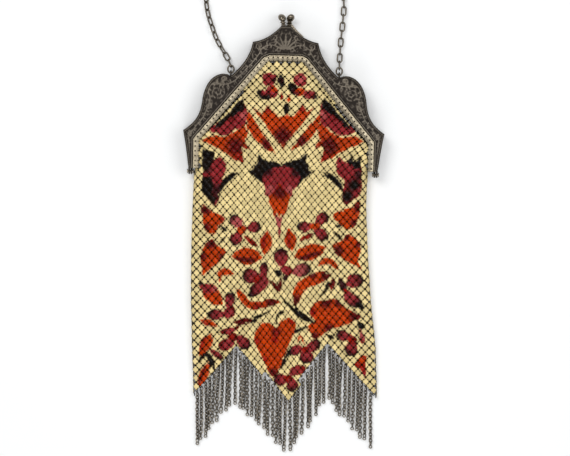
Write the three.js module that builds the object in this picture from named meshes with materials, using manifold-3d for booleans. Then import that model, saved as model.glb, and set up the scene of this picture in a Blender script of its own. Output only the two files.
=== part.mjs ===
// A metal mesh purse of the 1920s, lying closed on its back with its front up.
// An ogee frame of two hinged sheet-metal halves carries a perforated rail in each half. The rails
// hold a bag of linked enamelled plates with a zigzag foot, and a fringe of fine chains hangs from
// the foot. Two ball knobs at the apex snap past each other, and a chain of oval links is the handle.
// +X is to the right seen from the front, +Y runs from the fringe to the clasp and +Z faces up out of
// the front. Millimetres. Below, Y is 0 at the foot of the frame and Z is 0 where the purse lies.
import * as THREE from 'three';
import { mergeVertices } from 'three/addons/utils/BufferGeometryUtils.js';
import Module from 'manifold-3d';

// Frame
const frameWidth = 112.8;
const frameHeight = 80.6;
const apexFlat = 5.2;
const sheet = 0.8;
const halfDepth = 5.05;
const splitGap = 0.3;
const beadWidth = 0.9;
const beadHeight = 0.35;
const beadInset = 0.5;
const lipDepth = 2.0;
const curveSteps = 3;

// Clearance between neighbouring pieces that are soldered, linked or hinged on the real purse
const seatGap = 0.3;

// Rails
const railWidth = 3.0;
const railRecess = 1.2;
const holePitch = 3.8;
const holeRadius = 0.62;
const holeSides = 4;

// Hinges
const lugThickness = 0.9;
const lugRadius = 1.7;
const lugClear = 0.15;
const pinRadius = 0.7;
const pinHeadRadius = 1.25;
const pinHeadThickness = 0.6;
const pinDrop = 1.6;
const roundSides = 10;
const hingeSides = 8;

// Clasp
const ballRadius = 2.2;
const knobHeight = 4.9;
const knobPostRadius = 0.7;
const knobCollarRadius = 1.5;
const knobHeadRadius = 1.2;
const knobHeadThickness = 0.5;
const frontKnobX = -1.35;
const backKnobX = 1.45;
const knobLeanSide = 12;
const knobLeanIn = 22;
const armLength = 9.5;
const armHeight = 1.5;
const armRootRise = 1.2;
const armThickness = 0.7;

// Bag
const bagWall = 1.3;
const bagDrop = 130.5;
const bagSideInset = 6.4;
const mouthBack = 1.25;
const mouthFront = 9.55;
const waveHeight = 0.35;
const waveCount = 2;

// Fringe
const strandCount = 42;
const strandWidth = 1.6;
const strandGap = 0.75;
const strandThickness = 1.5;
const strandLength = 27.2;
const strandVariation = 1.1;
const strandVariationStep = 2.3;
const bandWidth = 1.3;

// How much further apart along Y two lines lie than squarely across the zigzag
const steepFoot = 1.7;

// Handle chain
const linkPitch = 4.4;
const linkWire = 0.45;
const linkHalfWidth = 1.25;
const linkContact = 0.7;
const wireSides = 5;
const linkEndSteps = 4;
const ringRadius = 2.1;
const earRadius = 1.9;
const earHeight = 3.65;
const earRise = 1.5;
const ringSides = 12;
const eyeSides = 10;

// The right half of the frame's outline from the apex to the toe, as shares of half the frame's
// width and of its height. Each row is one curve: its control points and its end.
const outlineCurves = [
  { part: 'crown slope', controls: [[0.174, 0.901]], end: [0.326, 0.886] },
  { part: 'neck', controls: [[0.355, 0.757]], end: [0.541, 0.645] },
  { part: 'lobe top', controls: [[0.585, 0.676], [0.771, 0.676]], end: [0.814, 0.486] },
  { part: 'lobe side', controls: [[0.83, 0.385], [0.86, 0.329]], end: [1, 0.263] },
  { part: 'heel', controls: [[0.968, 0.149]], end: [0.95, 0.05] },
  { part: 'toe', controls: [[0.943, 0.004]], end: [0.93, 0] },
];

// The right half of the window's edge from the middle to the toe, in the same shares.
const windowCorners = [
  [0.16, 0.799],
  [0.218, 0.782],
  [0.901, 0.208],
  [0.901, 0],
];

// The bag's cross-sections from the top of the mouth to the foot. down is a share of the bag's drop,
// half and shift are shares of its half width, back and front are shares of the mouth's height.
const bagSections = [
  { down: -0.5, half: 1.07, shift: 0, back: 1, front: 1 },
  { down: -0.12, half: 1.07, shift: -0.01, back: 1, front: 1 },
  { down: -0.02, half: 0.99, shift: -0.02, back: 0.9, front: 0.98 },
  { down: 0.05, half: 0.98, shift: -0.026, back: 0.35, front: 0.95 },
  { down: 0.15, half: 0.982, shift: -0.032, back: 0, front: 0.89 },
  { down: 0.35, half: 1.0, shift: -0.02, back: 0, front: 0.77 },
  { down: 0.56, half: 1.012, shift: 0.002, back: 0, front: 0.64 },
  { down: 0.76, half: 1.028, shift: 0.042, back: 0, front: 0.51 },
  { down: 0.9, half: 1.026, shift: 0.06, back: 0, front: 0.43 },
  { down: 1.05, half: 1.024, shift: 0.076, back: 0, front: 0.37 },
];

// The foot's zigzag from left to right: across is a share of the half width, down of the drop.
const footCorners = [
  { across: -0.955, down: 0.994 },
  { across: -0.506, down: 0.776 },
  { across: 0.122, down: 0.995 },
  { across: 0.534, down: 0.755 },
  { across: 1.074, down: 0.974 },
];

// The handle's route from the left end ring to the right one, in millimetres, chosen by hand, with Y
// counted from the notches. It rests on the surface that the purse lies on, apart from its ends, and
// closes in a plain arch.
const handleRoute = [
  [-31.9, 9.2, 2.6],
  [-34.9, 14.4, 1.9],
  [-38.6, 20.6, 1.8],
  [-41.6, 28.0, 1.8],
  [-44.2, 36.0, 1.8],
  [-45.2, 44.0, 1.8],
  [-42.8, 54.0, 1.8],
  [-36.8, 63.2, 1.8],
  [-28.0, 69.8, 1.8],
  [-17.8, 73.6, 1.8],
  [-6.8, 75.0, 1.8],
  [4.4, 73.6, 1.8],
  [14.6, 69.8, 1.8],
  [23.4, 63.2, 1.8],
  [29.6, 54.0, 1.8],
  [32.2, 44.0, 1.8],
  [31.9, 32.0, 1.8],
  [31.1, 22.0, 1.8],
  [30.7, 14.0, 1.9],
  [30.5, 9.0, 2.6],
];

const oxidised = { color: 0x4f4942, roughness: 0.45, metalness: 0.85 };
const nickel = { color: 0xa39c8c, roughness: 0.38, metalness: 0.85 };
const chainMetal = { color: 0x5f584c, roughness: 0.4, metalness: 0.85 };
const enamel = { color: 0xd9c288, roughness: 0.35, metalness: 0.1 };

const half = frameWidth / 2;
const bagHalfWidth = half - bagSideInset;
const totalDepth = 2 * halfDepth + splitGap;
const frameBack = beadHeight;
const frameFront = frameBack + totalDepth;
const frameMiddle = (frameBack + frameFront) / 2;
const mouthHeight = mouthFront - mouthBack;
const lugInner = windowCorners[windowCorners.length - 1][0] * half + lugClear;

const wasm = await Module();
wasm.setup();
const { Manifold } = wasm;

// Closed geometry as a solid that can be joined and cut.
function solidOf(geometry) {
  const bare = geometry.clone();
  bare.deleteAttribute('normal');
  bare.deleteAttribute('uv');
  const merged = mergeVertices(bare, 1e-4);
  return new Manifold(new wasm.Mesh({
    numProp: 3,
    vertProperties: new Float32Array(merged.attributes.position.array),
    triVerts: new Uint32Array(merged.index.array),
  }));
}

function meshOf(name, solid, finish) {
  const made = solid.getMesh();
  const geometry = new THREE.BufferGeometry()
    .setAttribute('position', new THREE.BufferAttribute(new Float32Array(made.vertProperties), 3))
    .setIndex(new THREE.BufferAttribute(new Uint32Array(made.triVerts), 1));
  geometry.computeVertexNormals();
  const mesh = new THREE.Mesh(geometry, new THREE.MeshStandardMaterial(finish));
  mesh.name = name;
  return mesh;
}

// A straight-sided block with the given outline in plan, from one height to another.
function prism(points, low, high) {
  const shape = new THREE.Shape(points.map(([x, y]) => new THREE.Vector2(x, y)));
  const geometry = new THREE.ExtrudeGeometry(shape, { depth: high - low, bevelEnabled: false });
  return solidOf(geometry.translate(0, 0, low));
}

const mirrored = (points) => points.map(([x, y]) => [-x, y]).reverse();

// A whole symmetric line from its right half: left end first, right end last.
const bothSides = (right) => [...mirrored(right), ...right];

// An open line moved sideways by a distance, to the right of its direction, with mitred corners.
function beside(line, distance) {
  const steepest = 2.5;
  return line.map(([x, y], i) => {
    const before = line[Math.max(i - 1, 0)];
    const after = line[Math.min(i + 1, line.length - 1)];
    const sides = [[before, [x, y]], [[x, y], after]]
      .map(([a, b]) => new THREE.Vector2(b[1] - a[1], a[0] - b[0]))
      .filter((v) => v.length() > 0)
      .map((v) => v.normalize());
    const mitre = sides.reduce((sum, v) => sum.add(v.clone()), new THREE.Vector2());
    const share = Math.min(steepest, sides.length / Math.max(mitre.dot(sides[0]), 1e-6));
    mitre.multiplyScalar((share * distance) / sides.length);
    return [x + mitre.x, y + mitre.y];
  });
}

// A band of constant width along a line, between two distances to the right of it.
const band = (line, from, to) => [...beside(line, from), ...beside(line, to).reverse()];

function frameEdge() {
  const path = new THREE.Path().moveTo(apexFlat / 2, frameHeight);
  for (const { controls, end } of outlineCurves) {
    const at = [...controls, end].flatMap(([x, y]) => [x * half, y * frameHeight]);
    if (controls.length === 1) path.quadraticCurveTo(...at);
    else path.bezierCurveTo(...at);
  }
  return bothSides(path.getPoints(curveSteps).map((p) => [p.x, p.y]));
}

const edge = frameEdge();
const windowLine = bothSides(windowCorners.map(([x, y]) => [x * half, y * frameHeight]));

// One eye or link: a closed wire along points of a plane, as a solid.
function wireLoop(centres, planeNormal, radius, sides) {
  const count = centres.length;
  const vertices = [];
  centres.forEach((centre, i) => {
    const along = centres[(i + 1) % count].clone().sub(centres[(i + count - 1) % count]).normalize();
    const across = new THREE.Vector3().crossVectors(along, planeNormal).normalize();
    for (let k = 0; k < sides; k += 1) {
      const turn = (2 * Math.PI * k) / sides;
      const point = centre.clone()
        .addScaledVector(across, radius * Math.cos(turn))
        .addScaledVector(planeNormal, radius * Math.sin(turn));
      vertices.push(point.x, point.y, point.z);
    }
  });
  const faces = [];
  for (let i = 0; i < count; i += 1) {
    for (let k = 0; k < sides; k += 1) {
      const a = i * sides + k;
      const b = i * sides + ((k + 1) % sides);
      const c = ((i + 1) % count) * sides + k;
      const d = ((i + 1) % count) * sides + ((k + 1) % sides);
      faces.push(a, b, d, a, d, c);
    }
  }
  const geometry = new THREE.BufferGeometry()
    .setAttribute('position', new THREE.BufferAttribute(new Float32Array(vertices), 3))
    .setIndex(faces);
  const solid = solidOf(geometry);
  if (solid.volume() > 0) return solid;
  const flipped = [];
  for (let i = 0; i < faces.length; i += 3) flipped.push(faces[i], faces[i + 2], faces[i + 1]);
  return solidOf(geometry.setIndex(flipped));
}

function circlePoints(centre, radius, first, second, count) {
  return Array.from({ length: count }, (_, i) => {
    const turn = (2 * Math.PI * i) / count;
    return centre.clone()
      .addScaledVector(first, radius * Math.cos(turn))
      .addScaledVector(second, radius * Math.sin(turn));
  });
}

const axisX = new THREE.Vector3(1, 0, 0);
const axisY = new THREE.Vector3(0, 1, 0);
const axisZ = new THREE.Vector3(0, 0, 1);

// A round bar along X.
function barAlongX(radius, from, to, y, z) {
  const geometry = new THREE.CylinderGeometry(radius, radius, to - from, hingeSides);
  geometry.rotateZ(Math.PI / 2).translate((from + to) / 2, y, z);
  return solidOf(geometry);
}

function block(x0, x1, y0, y1, z0, z1) {
  const geometry = new THREE.BoxGeometry(x1 - x0, y1 - y0, z1 - z0);
  return solidOf(geometry.translate((x0 + x1) / 2, (y0 + y1) / 2, (z0 + z1) / 2));
}

// The frame half that faces up: the plate, its outer skirt, the lip round the window, two raised
// border beads and a hinge lug at each toe. The lug's place along X tells the two halves apart.
function frameHalf(lugFrom) {
  const top = frameFront;
  const bottom = frameFront - halfDepth;
  const into = sheet / 4;
  const plate = prism([...edge, ...[...windowLine].reverse()], top - sheet, top);
  const skirt = prism(band(edge, 0, sheet), bottom, top - into);
  const lip = prism(band(windowLine, 0, -sheet), top - lipDepth, top - into);
  const outerBead = prism(band(edge, beadInset, beadInset + beadWidth), top - into, top + beadHeight);
  const innerBead = prism(band(windowLine, 0, -beadWidth), top - into, top + beadHeight);
  const lugs = [1, -1].map((side) => {
    const from = side > 0 ? lugFrom : -lugFrom - lugThickness;
    const to = from + lugThickness;
    return barAlongX(lugRadius, from, to, -pinDrop, frameMiddle)
      .add(block(from, to, -pinDrop, lugRadius, frameMiddle, top - sheet / 2))
      .subtract(barAlongX(pinRadius + seatGap, from - sheet, to + sheet, -pinDrop, frameMiddle));
  });
  return Manifold.union([plate, skirt, lip, outerBead, innerBead, ...lugs]);
}

// The same half turned to face down.
const turnedDown = (solid) => solid.mirror([0, 0, 1]).translate([0, 0, 2 * frameMiddle]);

// The hole in a half's top skirt that takes a knob's post.
function postHole(x, z) {
  const geometry = new THREE.CylinderGeometry(
    knobPostRadius + seatGap, knobPostRadius + seatGap, 4 * sheet, roundSides);
  return solidOf(geometry.translate(x, frameHeight - sheet / 2, z));
}

// The notch between the neck and the lobe, where an eye for the handle is soldered.
const notch = outlineCurves[1].end.map((share, i) => share * [half, frameHeight][i]);

function handleEye(side) {
  const centre = new THREE.Vector3(side * notch[0], notch[1] + earRise, earHeight);
  return wireLoop(circlePoints(centre, earRadius, axisY, axisZ, eyeSides), axisX, linkWire, wireSides);
}

// How far each knob's post stands in from the outer face of its half.
const knobDepth = halfDepth / 2 + sheet / 4;

function frontFrame() {
  return frameHalf(lugInner + lugThickness + seatGap)
    .subtract(postHole(frontKnobX, frameFront - knobDepth));
}

function backFrame() {
  return turnedDown(frameHalf(lugInner))
    .subtract(postHole(backKnobX, frameBack + knobDepth))
    .add(handleEye(1))
    .add(handleEye(-1));
}

// A perforated strip along the inside of the window's lip.
function rail(low) {
  const shortened = windowLine.map(([x, y]) => [x, Math.max(y, seatGap)]);
  const strip = prism(band(shortened, seatGap, seatGap + railWidth), low, low + sheet);
  const middle = new THREE.CurvePath();
  const spine = beside(shortened, seatGap + railWidth / 2).map(([x, y]) => new THREE.Vector2(x, y));
  spine.slice(1).forEach((end, i) => middle.add(new THREE.LineCurve(spine[i], end)));
  const holes = Math.floor(middle.getLength() / holePitch);
  const punches = Array.from({ length: holes }, (_, i) => {
    const share = (i + 0.5) / holes;
    const at = middle.getPointAt(share);
    const along = middle.getTangentAt(share);
    const punch = new THREE.CylinderGeometry(holeRadius, holeRadius, 3 * sheet, holeSides);
    punch.rotateX(Math.PI / 2).rotateZ(Math.atan2(along.y, along.x));
    return solidOf(punch.translate(at.x, at.y, low + sheet / 2));
  });
  return strip.subtract(Manifold.union(punches));
}

function hingePin(side) {
  const from = lugInner - seatGap - pinHeadThickness;
  const to = lugInner + 2 * lugThickness + 2 * seatGap + pinHeadThickness;
  const made = Manifold.union([
    barAlongX(pinRadius, from, to, -pinDrop, frameMiddle),
    barAlongX(pinHeadRadius, from, from + pinHeadThickness, -pinDrop, frameMiddle),
    barAlongX(pinHeadRadius, to - pinHeadThickness, to, -pinDrop, frameMiddle),
  ]);
  return side > 0 ? made : made.mirror([1, 0, 0]);
}

// A ball on a collared post, standing on its rivet head inside the skirt.
function knob(x, z, leanSide, leanIn) {
  const under = -sheet - seatGap;
  const steps = 6;
  const ball = Array.from({ length: steps + 1 }, (_, i) => {
    const turn = Math.PI * (0.16 + (0.84 * i) / steps);
    return new THREE.Vector2(ballRadius * Math.sin(turn), knobHeight - ballRadius * Math.cos(turn));
  });
  ball[steps].x = 0;
  const profile = [
    new THREE.Vector2(0, under - knobHeadThickness),
    new THREE.Vector2(knobHeadRadius, under - knobHeadThickness),
    new THREE.Vector2(knobHeadRadius, under),
    new THREE.Vector2(knobPostRadius, under),
    new THREE.Vector2(knobPostRadius, seatGap),
    new THREE.Vector2(knobCollarRadius, knobHeight - ballRadius),
    ...ball,
  ];
  // Only what stands clear of the frame leans; the post below stays square to the skirt.
  const geometry = new THREE.LatheGeometry(profile, roundSides);
  const place = geometry.attributes.position;
  const side = Math.tan(THREE.MathUtils.degToRad(leanSide));
  const inward = Math.tan(THREE.MathUtils.degToRad(leanIn));
  for (let i = 0; i < place.count; i += 1) {
    const free = Math.max(place.getY(i) - seatGap, 0);
    place.setX(i, place.getX(i) + free * side);
    place.setZ(i, place.getZ(i) + free * inward);
  }
  return solidOf(geometry.translate(x, frameHeight, z));
}

const frontKnob = () => knob(frontKnobX, frameFront - knobDepth, -knobLeanSide, -knobLeanIn);

// The back knob carries a short spring arm that lies along the right slope between the halves.
function backKnob() {
  const start = new THREE.Vector2(backKnobX, frameHeight + armRootRise);
  const slope = edge.filter(([x, y]) => x >= apexFlat / 2 && x <= armLength && y > 0.9 * frameHeight);
  const clear = beside(slope, -seatGap).filter(([x]) => x > start.x);
  const high = beside(slope, -seatGap - armHeight).filter(([x]) => x > start.x);
  const outline = [[start.x, start.y], ...clear, ...high.reverse(), [start.x, start.y + armHeight]];
  const low = frameBack + knobDepth - armThickness / 2;
  const arm = prism(outline, low, low + armThickness);
  return knob(backKnobX, frameBack + knobDepth, knobLeanSide, knobLeanIn).add(arm);
}

// The bag's cross-section at one height: a flat ring of points with round side folds, pulled in
// from the outer surface by a distance.
function bagRing({ down, half: halfShare, shift, back, front }, inset) {
  const across = inset > 0 ? 4 : 8;
  const foldSteps = inset > 0 ? 2 : 3;
  const y = -down * bagDrop;
  const low = mouthBack * back + inset;
  const high = mouthBack * back + mouthHeight * front - inset;
  const radius = (high - low) / 2;
  const reach = halfShare * bagHalfWidth - inset - radius;
  const centre = shift * bagHalfWidth;
  const wave = (x) => {
    const fade = Math.cos((Math.PI * x) / (2 * reach)) * THREE.MathUtils.clamp(down * 4, 0, 1);
    return waveHeight * fade * Math.sin((waveCount * Math.PI * x) / reach);
  };
  const ring = [];
  for (let i = 0; i < across; i += 1) {
    ring.push([centre - reach + (2 * reach * i) / across, low]);
  }
  for (let i = 0; i <= foldSteps; i += 1) {
    const turn = -Math.PI / 2 + (Math.PI * i) / foldSteps;
    ring.push([centre + reach + radius * Math.cos(turn), low + radius + radius * Math.sin(turn)]);
  }
  for (let i = 1; i < across; i += 1) {
    const x = reach - (2 * reach * i) / across;
    ring.push([centre + x, high + wave(x)]);
  }
  for (let i = 0; i < foldSteps; i += 1) {
    const turn = Math.PI / 2 + (Math.PI * i) / foldSteps;
    ring.push([centre - reach + radius * Math.cos(turn), low + radius + radius * Math.sin(turn)]);
  }
  return ring.map(([x, z]) => new THREE.Vector3(x, y, z));
}

// A closed solid through rings of equally many points.
function loft(rings) {
  const count = rings[0].length;
  const vertices = rings.flat().flatMap((p) => [p.x, p.y, p.z]);
  const faces = [];
  rings.slice(1).forEach((_, j) => {
    for (let i = 0; i < count; i += 1) {
      const next = (i + 1) % count;
      const a = j * count + i;
      const b = j * count + next;
      const c = (j + 1) * count + i;
      const d = (j + 1) * count + next;
      faces.push(a, b, d, a, d, c);
    }
  });
  [0, rings.length - 1].forEach((j) => {
    const flat = rings[j].map((p) => new THREE.Vector2(p.x, p.z));
    for (const [a, b, c] of THREE.ShapeUtils.triangulateShape(flat, [])) {
      if (j === 0) faces.push(a, c, b);
      else faces.push(j * count + a, j * count + b, j * count + c);
    }
  });
  const geometry = new THREE.BufferGeometry()
    .setAttribute('position', new THREE.BufferAttribute(new Float32Array(vertices), 3))
    .setIndex(faces);
  const solid = solidOf(geometry);
  if (solid.volume() > 0) return solid;
  const flipped = [];
  for (let i = 0; i < faces.length; i += 3) flipped.push(faces[i], faces[i + 2], faces[i + 1]);
  return solidOf(geometry.setIndex(flipped));
}

const footLine = footCorners.map(({ across, down }) => [across * bagHalfWidth, -down * bagDrop]);

// The bag's outline in plan: the mouth inside the rails, the sides left to the loft, and the foot.
function bagPlan(mouthRise, footRise) {
  const gap = 2 * seatGap + railWidth;
  const shoulderDrop = -pinDrop - lugRadius - seatGap;
  const mouth = beside(windowLine, gap).map(([x, y]) => [x, y === 0 ? shoulderDrop : y + mouthRise]);
  const far = 2 * bagHalfWidth;
  const first = footLine[0];
  const last = footLine[footLine.length - 1];
  const foot = [[-far, first[1]], ...footLine, [far, last[1]]].map(([x, y]) => [x, y + footRise]);
  return [...mouth, [far, shoulderDrop], ...foot.reverse(), [-far, shoulderDrop]];
}

function meshBag() {
  const outer = loft(bagSections.map((row) => bagRing(row, 0)));
  const inner = loft(bagSections.map((row) => bagRing(row, bagWall)));
  const mouthTop = frameHeight;
  const body = outer.intersect(prism(bagPlan(0, 0), -1, 2 * frameFront));
  const open = prism(bagPlan(0, steepFoot * bagWall), -1, 2 * frameFront)
    .add(block(-half, half, -pinDrop - lugRadius - seatGap, mouthTop, -1, 2 * frameFront));
  return body.subtract(inner.intersect(open));
}

// The foot's height at a place across the bag.
function footAt(x) {
  const next = footLine.findIndex(([end]) => end > x);
  const i = next < 0 ? footLine.length - 1 : Math.max(next, 1);
  const [from, to] = [footLine[i - 1], footLine[i]];
  return THREE.MathUtils.mapLinear(x, from[0], to[0], from[1], to[1]);
}

// A zigzag band under the bag's foot that carries the strands, as one comb-shaped outline.
function fringe() {
  const near = seatGap * steepFoot;
  const across = (strandWidth + strandGap) * strandCount - strandGap;
  const spread = (footLine[footLine.length - 1][0] - footLine[0][0]) / across;
  const teeth = Array.from({ length: strandCount }, (_, i) => {
    const left = footLine[0][0] + spread * i * (strandWidth + strandGap);
    const right = left + spread * strandWidth;
    const root = (x) => footAt(x) - near - bandWidth * steepFoot;
    const tip = root((left + right) / 2) - strandLength - strandVariation * Math.sin(i * strandVariationStep);
    return [[left, root(left)], [left, tip], [right, tip], [right, root(right)]];
  });
  const head = footLine.map(([x, y]) => [x, y - near]);
  return prism([...head.reverse(), ...teeth.flat()], 0, strandThickness);
}

// One link of the handle about a place on the route: an oval wire in the plane of the route's
// direction and a sideways direction, reaching a distance before and after the place.
function chainLink(place, along, sideways, before, after) {
  const centres = [after, -before].flatMap((reach) => (
    Array.from({ length: linkEndSteps + 1 }, (_, i) => {
      const turn = (Math.PI * i) / linkEndSteps - Math.PI / 2;
      const end = Math.sign(reach);
      return place.clone()
        .addScaledVector(along, reach + end * linkHalfWidth * (Math.cos(turn) - 1))
        .addScaledVector(sideways, end * linkHalfWidth * Math.sin(turn));
    })));
  const normal = new THREE.Vector3().crossVectors(along, sideways).normalize();
  return wireLoop(centres, normal, linkWire, wireSides);
}

// Where the wires of an end ring cross its eye and the first link, along Y at the notch.
const ringFoot = notch[1] + earRise + earRadius - 2 * linkWire - seatGap;
const ringTop = ringFoot + 2 * ringRadius;
const reachFree = linkPitch / 2 + (2 * linkWire + seatGap) / 2;
const reachFused = (linkPitch + linkContact) / 2;

// Half of the handle, its links laid along the route and turned a quarter from one to the next.
// Links touch within a half and hang free where the halves meet. Both end links stand on edge, and
// those of the left side lean over.
function handleHalf(side) {
  const start = ringTop - 2 * linkWire - seatGap + reachFused - linkPitch / 2;
  const ends = [-1, 1].map((end) => new THREE.Vector3(end * notch[0], start, earHeight));
  const free = handleRoute.map(([x, y, z]) => new THREE.Vector3(x, notch[1] + y, z));
  const route = new THREE.CatmullRomCurve3([ends[0], ...free, ends[1]]);
  route.arcLengthDivisions = 600;
  const count = 2 * Math.round(route.getLength() / linkPitch / 2) - 1;
  const middle = (count + 1) / 2;
  const numbers = Array.from({ length: side < 0 ? middle : count - middle },
    (_, i) => (side < 0 ? i : i + middle));
  const { smoothstep } = THREE.MathUtils;
  const links = numbers.map((n) => {
    const share = (n + 0.5) / count;
    const place = route.getPointAt(share);
    const along = route.getTangentAt(share);
    const flat = new THREE.Vector3().crossVectors(axisZ, along).normalize();
    const lean = (Math.PI / 4) * smoothstep(share, 0, 0.1) * (1 - smoothstep(share, 0.4, 0.5));
    const sideways = flat.applyAxisAngle(along, lean + (n % 2 ? 0 : Math.PI / 2));
    const before = n === middle ? reachFree : reachFused;
    const after = n === middle - 1 ? reachFree : reachFused;
    return chainLink(place, along, sideways, before, after);
  });
  return Manifold.union(links);
}

// The ring that joins an eye to the handle's first link.
function endRing(side) {
  const centre = new THREE.Vector3(side * notch[0], ringFoot + ringRadius, earHeight);
  return wireLoop(circlePoints(centre, ringRadius, axisX, axisY, ringSides), axisZ, linkWire, wireSides);
}

function assembly(name, meshes) {
  const group = new THREE.Group();
  group.name = name;
  group.add(...meshes);
  return group;
}

const purse = assembly('mesh_purse', [
  assembly('frame', [
    meshOf('front_frame', frontFrame(), oxidised),
    meshOf('back_frame', backFrame(), oxidised),
    meshOf('front_rail', rail(frameFront - railRecess - sheet), nickel),
    meshOf('back_rail', rail(frameBack + railRecess), nickel),
    meshOf('hinge_pin_right', hingePin(1), nickel),
    meshOf('hinge_pin_left', hingePin(-1), nickel),
  ]),
  assembly('clasp', [
    meshOf('front_knob', frontKnob(), nickel),
    meshOf('back_knob', backKnob(), nickel),
  ]),
  assembly('bag', [
    meshOf('mesh_bag', meshBag(), enamel),
    meshOf('chain_fringe', fringe(), chainMetal),
  ]),
  assembly('handle', [
    meshOf('handle_chain_left', handleHalf(-1), chainMetal),
    meshOf('handle_chain_right', handleHalf(1), chainMetal),
    meshOf('end_ring_left', endRing(-1), chainMetal),
    meshOf('end_ring_right', endRing(1), chainMetal),
  ]),
]);

// The origin is under the middle of the whole purse, on the surface that it lies on.
const whole = new THREE.Box3().setFromObject(purse);
const middle = whole.getCenter(new THREE.Vector3());
purse.position.set(-middle.x, -middle.y, -whole.min.z);

export default purse;
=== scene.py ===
# A metal mesh purse of the 1920s, lying closed on its back: printed enamel mesh in a stamped frame,
# with a chain handle and a chain fringe.
# Lengths are in millimetres until makePiece turns them into metres. There Y is 0 at the foot of the
# frame, and Z is 0 on the surface that the purse lies on.
import math

import bpy
import numpy as np
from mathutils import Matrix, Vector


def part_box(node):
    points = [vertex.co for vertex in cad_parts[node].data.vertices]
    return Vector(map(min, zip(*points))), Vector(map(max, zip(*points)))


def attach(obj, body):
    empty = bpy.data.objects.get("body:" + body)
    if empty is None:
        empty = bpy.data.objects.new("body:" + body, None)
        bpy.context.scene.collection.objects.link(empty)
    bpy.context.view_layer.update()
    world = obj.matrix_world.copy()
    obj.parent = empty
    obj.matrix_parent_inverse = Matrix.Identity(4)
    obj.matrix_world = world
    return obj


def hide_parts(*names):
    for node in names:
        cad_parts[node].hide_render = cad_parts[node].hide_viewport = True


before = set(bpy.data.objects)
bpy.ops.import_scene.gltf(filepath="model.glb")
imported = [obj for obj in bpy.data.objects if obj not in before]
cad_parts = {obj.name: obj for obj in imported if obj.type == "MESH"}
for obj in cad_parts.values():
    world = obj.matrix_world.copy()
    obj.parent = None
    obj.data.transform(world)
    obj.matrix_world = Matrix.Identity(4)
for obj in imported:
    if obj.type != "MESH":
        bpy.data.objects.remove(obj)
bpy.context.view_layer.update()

mm = 0.001
seatGap = 0.3
rng = np.random.default_rng(24)
print("frame loaded:", len(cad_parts), "nodes")


def boxInMm(node):
    low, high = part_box(node)
    return np.array(low) / mm, np.array(high) / mm


frameLow, frameHigh = boxInMm("front_frame")
railLow = boxInMm("front_rail")[0]
backRailLow = boxInMm("back_rail")[0]
halfWidth = (frameHigh[0] - frameLow[0]) / 2
footLine = railLow[1] - seatGap  # Y of the frame's foot
frameHeight = frameHigh[1] - footLine


# Helpers for meshes: a part is its points with its faces

def joined(parts):
    points, faces, start = [], [], 0
    for partPoints, partFaces in parts:
        points.append(np.asarray(partPoints, float))
        faces.extend([[start + i for i in face] for face in partFaces])
        start += len(partPoints)
    return np.vstack(points), faces


def makePiece(name, part, material, replaced=(), smoothAngle=40, attributes=None):
    points, faces = part
    mesh = bpy.data.meshes.new(name)
    placed = (np.asarray(points) + [0, footLine, 0]) * mm
    mesh.from_pydata(placed.tolist(), [], faces)
    for attributeName, values in (attributes or {}).items():
        colour = np.ndim(values) == 2
        kind = "FLOAT_COLOR" if colour else "FLOAT"
        layer = mesh.attributes.new(attributeName, kind, "POINT")
        layer.data.foreach_set("color" if colour else "value", np.ravel(values).astype(np.float32))
    mesh.polygons.foreach_set("use_smooth", [True] * len(mesh.polygons))
    mesh.set_sharp_from_angle(angle=math.radians(smoothAngle))
    mesh.validate()
    mesh.materials.append(material)
    piece = bpy.data.objects.new(name, mesh)
    bpy.context.scene.collection.objects.link(piece)
    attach(piece, "root")
    if replaced:
        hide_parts(*replaced)
    print("piece", name, "with", len(mesh.polygons), "faces")
    return piece


def wireLoop(centres, normal, radius, sides):
    # A closed wire round the points of a flat loop
    centres = np.asarray(centres, float)
    count = len(centres)
    along = np.roll(centres, -1, 0) - np.roll(centres, 1, 0)
    along /= np.linalg.norm(along, axis=1)[:, None]
    across = np.cross(along, normal)
    turns = 2 * math.pi * np.arange(sides) / sides
    points = (centres[:, None] + radius * (np.cos(turns)[None, :, None] * across[:, None]
                                           + np.sin(turns)[None, :, None] * np.asarray(normal)))
    faces = []
    for i in range(count):
        for k in range(sides):
            a, b = i * sides + k, i * sides + (k + 1) % sides
            shift = sides if i < count - 1 else -i * sides
            faces.append([a, a + shift, b + shift, b])
    return points.reshape(-1, 3), faces


def circle(centre, radius, first, second, count):
    turns = 2 * math.pi * np.arange(count) / count
    return (np.asarray(centre, float) + radius * np.outer(np.cos(turns), first)
            + radius * np.outer(np.sin(turns), second))


def lathe(profile, segments):
    # A closed profile of (radius, height) from axis to axis, turned about Z
    turns = 2 * math.pi * np.arange(segments) / segments
    points, rows = [], []
    for radius, height in profile:
        if radius < 1e-6:
            rows.append([len(points)])
            points.append([0, 0, height])
        else:
            rows.append(list(range(len(points), len(points) + segments)))
            points.extend(np.column_stack((radius * np.cos(turns), radius * np.sin(turns),
                                           np.full(segments, height))).tolist())
    faces = []
    for low, high in zip(rows, rows[1:]):
        for k in range(segments):
            n = (k + 1) % segments
            if len(low) == 1:
                faces.append([low[0], high[n], high[k]])
            elif len(high) == 1:
                faces.append([low[k], low[n], high[0]])
            else:
                faces.append([low[k], low[n], high[n], high[k]])
    return np.array(points), faces


def gridFaces(rows, columns):
    return [[r * columns + c, r * columns + c + 1, (r + 1) * columns + c + 1, (r + 1) * columns + c]
            for r in range(rows - 1) for c in range(columns - 1)]


def rounded(low, high, value):
    share = np.clip((value - low) / (high - low), 0, 1)
    return share * share * (3 - 2 * share)


def linear(colour):
    # A colour as painters name it, 0 to 255, in the renderer's linear values
    share = np.asarray(colour, float) / 255
    return np.where(share <= 0.04045, share / 12.92, ((share + 0.055) / 1.055) ** 2.4)


def rgba(colour):
    return (*linear(colour), 1)


# Shader node groups that several materials share

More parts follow.
